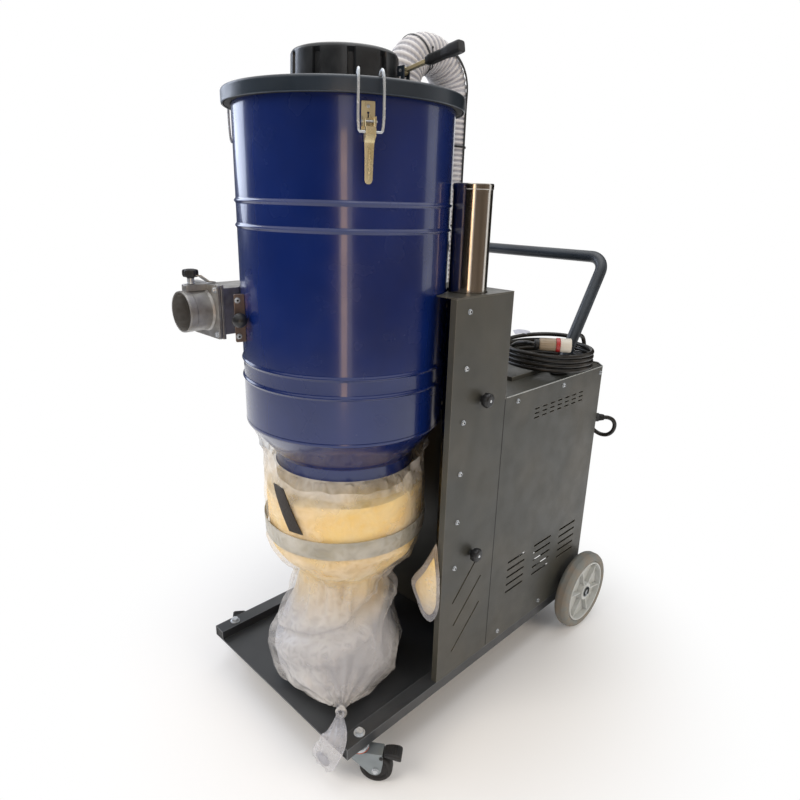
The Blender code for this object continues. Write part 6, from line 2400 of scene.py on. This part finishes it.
    def tag(self) -> None:
        """Build the blank card tag on the lead, with its string's loop."""
        place = (Matrix.Translation((0.052, 0.4, 0.8925)) @ Matrix.Rotation(radians(52), 4,
            "Z") @ Matrix.Rotation(radians(16), 4, "X"))
        rings = []
        for k in range(13):
            x = -0.026 + 0.052 * k / 12
            lift = 0.003 * sin(k / 12 * pi * 1.3)
            rings.append([(x, p.x, p.y + lift) for p in oval(0.0125, 0.00035, 0.0002, 1)])
        self.keep(lofted("cord_tag", rings, TAG_PAPER, place, crease=50))


# ---- switches -----------------------------------------------------------------------
@dataclass
class SwitchBox(Assembly):
    """The starter on the cabinet's back: its box, two buttons and the isolator."""

    half_x: float = 0.095
    y: tuple[float, float] = (0.5068, 0.5325)
    z: tuple[float, float] = (0.59, 0.73)
    buttons: tuple[tuple[str, float, Finish], ...] = (("start_button", -0.035, GREEN_PLASTIC),
        ("stop_button", 0.035, RED_PLASTIC))
    button_z: float = 0.62
    isolator_z: float = 0.685

    def build(self) -> None:
        """Build the box, its bezels, the buttons and the isolator."""
        self.replica("switch_box", BLACK_ABS, 0.0016, "black_plastic", steps=3)
        face = self.y[1]
        heads = [((sx * (self.half_x - 0.009), face + 0.0001, z), (0, 1, 0)) for sx in (-1, 1)
            for z in (self.z[0] + 0.009, self.z[1] - 0.009)]
        self.screws("switch_screws", heads, finish=GREY_ZINC)
        for name, x, finish in self.buttons:
            self.button(name, x, finish)
        self.isolator()

    def button(self, name: str, x: float, finish: Finish) -> None:
        """Build one button, dished, with its bezel on the box."""
        low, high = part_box(name)
        place = facing((x, low.y, self.button_z), (0, 1, 0))
        r, tall = (high.x - low.x) / 2, high.y - low.y
        dish = rounded([(0, tall - 0.001), (r * 0.55, tall - 0.0007), (r * 0.85, tall),
            (r, tall - 0.0006), (r, 0.0), (0, 0.0)], 0.0006, 3)
        slot = "green_button" if name == "start_button" else "red_button"
        self.keep(lathe(name + "_cap", dish, finish, place, 64), name, slot, [name])
        seat = facing((x, self.y[1] + 0.0001, self.button_z), (0, 1, 0))
        bezel = rounded([(r + 0.0008, 0.0), (r + 0.0008, 0.0022), (r + 0.003, 0.0022),
            (r + 0.0042, 0.0)], 0.0006, 2, True)
        self.keep(lathe(name + "_bezel", bezel, BRIGHT_ZINC, seat, 64, ring=True))

    def isolator(self) -> None:
        """Build the red isolator knob on its yellow plate."""
        stand = Matrix.Translation((0, self.y[1] + 0.0001, self.isolator_z)) @ Matrix.Rotation(
            -pi / 2, 4, "X")
        square = [(p.x, p.y) for p in oval(0.026, 0.026, 0.004, 4)]
        self.keep(plate("isolator_plate", [square], 0.0012, YELLOW_PLASTIC, stand, 0.0003))
        low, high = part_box("isolator_knob")
        place = facing((0, self.y[1], self.isolator_z), (0, 1, 0))
        low_y = max(0.0016, low.y - self.y[1])
        skirt = rounded([(0, 0.01), (0.0165, 0.01), (0.0186, 0.0085), (0.019, low_y), (0, low_y)],
            0.0008, 3)

        def knurl(r: float, height: float, angle: float) -> float:
            return r - 0.0006 * (1 + cos(24 * angle)) / 2 if r > 0.0175 else r

        knob = lathe("skirt", skirt, RED_PLASTIC, place, 144, wave=knurl)
        top = high.y - self.y[1]
        ridge = block("ridge", (-0.0045, -0.015, 0.0095), (0.0045, 0.015, top), RED_PLASTIC, 0.0016,
            place)
        self.keep(merge("isolator_grip", [knob, ridge]), "isolator_knob", "red_button",
            ["isolator_knob"])


# ---- stage --------------------------------------------------------------------------
@dataclass
class Stage:
    """The pale floor, the white backdrop, the lamps and the camera."""

    camera_at: tuple[float, float, float] = (1.0734, -1.1481, 1.2563)
    yaw: float = 0.7789
    pitch: float = 0.3125
    roll: float = 0.028
    lens: float = 27.72
    ambient: float = 0.42
    floor_fade: tuple[float, float] = (0.38, 0.98)
    flags: tuple[tuple[float, float, str, str], ...] = ((-205.0, -46.0, "#1d1b19", "#4d515c"),
        (-33.0, 48.0, "#776b5f", "#776b5f"), (64.0, 112.0, "#24221f", "#24221f"))
    flag_r: float = 3.4
    flag_top: float = 3.2

    def build(self) -> None:
        """Set the whole stage."""
        self.camera()
        self.floor()
        self.flag_cards()
        self.world()
        self.lamps()
        bpy.context.scene.view_settings.view_transform = "Standard"

    def camera(self) -> None:
        """Place the camera."""
        f = Vector((-sin(self.yaw) * cos(self.pitch), cos(self.yaw) * cos(self.pitch),
            -sin(self.pitch)))
        r = Vector((cos(self.yaw), sin(self.yaw), 0))
        u = r.cross(f)
        right = r * cos(self.roll) + u * sin(self.roll)
        up = u * cos(self.roll) - r * sin(self.roll)
        data = bpy.data.cameras.new("camera")
        data.sensor_width, data.lens = 36.0, self.lens
        data.clip_start, data.clip_end = 0.05, 60.0
        obj = link("camera", data)
        turn = Matrix((right, up, -f)).transposed().to_4x4()
        obj.matrix_world = Matrix.Translation(self.camera_at) @ turn
        bpy.context.scene.camera = obj

    def floor(self) -> None:
        """Build the floor, which is white to the eye and keeps the machine's shadow."""
        mesh = bpy.data.meshes.new("floor")
        mesh.from_pydata([(-30, -30, 0), (30, -30, 0), (30, 30, 0), (-30, 30, 0)], [],
            [(0, 1, 2, 3)])
        surface = Surface("studio_floor")
        surface.set(Base_Color="#f4f4f4", Roughness=0.9, Specular_IOR_Level=0.0)
        # past the machine's own shadow the floor fades to the white of the backdrop
        flat = surface.add("ShaderNodeVectorMath", {"operation": "LENGTH"}, {0: surface.coords})
        fade = surface.add(*SMOOTH_RANGE, {"Value": flat.outputs["Value"],
            "From Min": self.floor_fade[0], "From Max": self.floor_fade[1]})
        path = surface.add("ShaderNodeLightPath")
        seen = surface.add(*LARGER,
            {0: path.outputs["Is Camera Ray"], 1: path.outputs["Is Glossy Ray"]})
        seen = surface.add(*LARGER, {0: seen, 1: path.outputs["Is Transmission Ray"]})
        white = surface.add("ShaderNodeEmission", inputs={"Color": (1, 1, 1, 1), "Strength": 1.0})
        mix = surface.add("ShaderNodeMixShader",
            inputs={0: surface.add(*TIMES, {0: seen, 1: fade}), 1: surface.shader, 2: white})
        surface.tree.links.new(mix.outputs[0],
            surface.tree.nodes["Material Output"].inputs["Surface"])
        mesh.materials.append(surface.material)
        link("floor", mesh)

    def flag_cards(self) -> None:
        """Stand dark cards round the machine, which only its glossy faces see."""
        for number, (start, end, front, left_side) in enumerate(self.flags):
            surface = Surface(f"flag_card_{number}")
            split = surface.add("ShaderNodeSeparateXYZ", inputs={0: surface.coords})
            left = surface.add(*SMOOTH_RANGE, {"Value": split.outputs[0], "From Min": -0.8,
                "From Max": -3.0, "To Min": 0.0, "To Max": 1.0})
            surface.tint(left, front, left_side, Roughness=1.0, Specular_IOR_Level=0.0)
            verts, steps = [], 24
            for k in range(steps + 1):
                a = radians(start + (end - start) * k / steps)
                for z in (0.02, self.flag_top):
                    verts.append((self.flag_r * cos(a), PLAN.drum_y + self.flag_r * sin(a), z))
            faces = [(2 * k, 2 * k + 2, 2 * k + 3, 2 * k + 1) for k in range(steps)]
            mesh = bpy.data.meshes.new(f"flag_card_{number}")
            mesh.from_pydata(verts, [], faces)
            mesh.materials.append(surface.material)
            card = link(mesh.name, mesh)
            for ray in ("camera", "diffuse", "shadow", "transmission"):
                setattr(card, f"visible_{ray}", False)

    def world(self) -> None:
        """Light the scene softly; what looks past the machine sees white."""
        world = bpy.data.worlds.new("studio")
        bpy.context.scene.world = world
        world.use_nodes = True
        tree = world.node_tree
        tree.nodes.clear()
        path = add(tree, "ShaderNodeLightPath")
        white = add(tree, "ShaderNodeBackground", inputs={"Color": (1, 1, 1, 1), "Strength": 1.0})
        soft = add(tree, "ShaderNodeBackground",
            inputs={"Color": (0.92, 0.95, 1.0, 1), "Strength": self.ambient})
        seen = add(tree, *LARGER,
            {0: path.outputs["Is Camera Ray"], 1: path.outputs["Is Transmission Ray"]})
        seen = add(tree, *LARGER, {0: seen, 1: path.outputs["Is Glossy Ray"]})
        mix = add(tree, "ShaderNodeMixShader", inputs={0: seen, 1: soft, 2: white})
        add(tree, "ShaderNodeOutputWorld", inputs={0: mix})

    def lamps(self) -> None:
        """Hang the lamps: a large soft one in front, a narrow warm one, and a fill on each side."""
        self.lamp("key", (-0.6, -3.0, 2.6), (0.0, -0.2, 0.8), (2.2, 2.2), 68.0, "#fff6ea", False)
        self.lamp("warm_strip", (1.9, -1.9, 0.85), (0.0, -0.2465, 0.85), (0.26, 1.5), 4.6,
            "#ffc88c")
        self.lamp("right_fill", (3.2, 0.6, 2.2), (0.0, 0.0, 0.7), (1.8, 2.4), 44.0, "#fff0dc",
            False)
        self.lamp("left_fill", (-3.0, -0.8, 2.0), (0.0, 0.0, 0.8), (1.6, 2.4), 42.0, "#e4edff")
        self.lamp("top", (0.0, 0.2, 3.6), (0.0, 0.0, 0.8), (2.4, 2.4), 30.0, "#ffffff")

    def lamp(self, name: str, at: Point, aim: Point, size: tuple[float, float], power: float,
            colour: str, mirrored: bool = True) -> None:
        """Hang one area lamp, which glossy faces mirror or not."""
        data = bpy.data.lights.new(name, "AREA")
        data.shape = "RECTANGLE"
        data.size, data.size_y = size
        data.energy = power
        data.color = linear(colour)[:3]
        obj = link(name, data)
        obj.visible_glossy = mirrored
        look = Vector(aim) - Vector(at)
        obj.matrix_world = Matrix.Translation(at) @ look.to_track_quat("-Z",
            "Y").to_matrix().to_4x4()


# ---- the whole machine --------------------------------------------------------------
@dataclass
class DustCollector:
    """The machine, as the list of its sub-assemblies."""

    parts: list[Assembly] = field(default_factory=lambda: [PowerCord(), Chassis(), Casters(),
        RearWheels(), Column(), Cabinet(), PushHandle(), Blower(), Drum(), CleaningLever(),
        Latches(), Inlet(), SuctionHose(), DustBag(), SwitchBox()])

    def build(self) -> None:
        """Build every sub-assembly in turn."""
        for part in self.parts:
            LOG.info("building %s", type(part).__name__)
            part.build()


def main() -> None:
    """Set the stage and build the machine."""
    Stage().build()
    DustCollector().build()


if __name__ == "__main__":
    logging.basicConfig(level=logging.INFO, format="%(message)s")
    main()
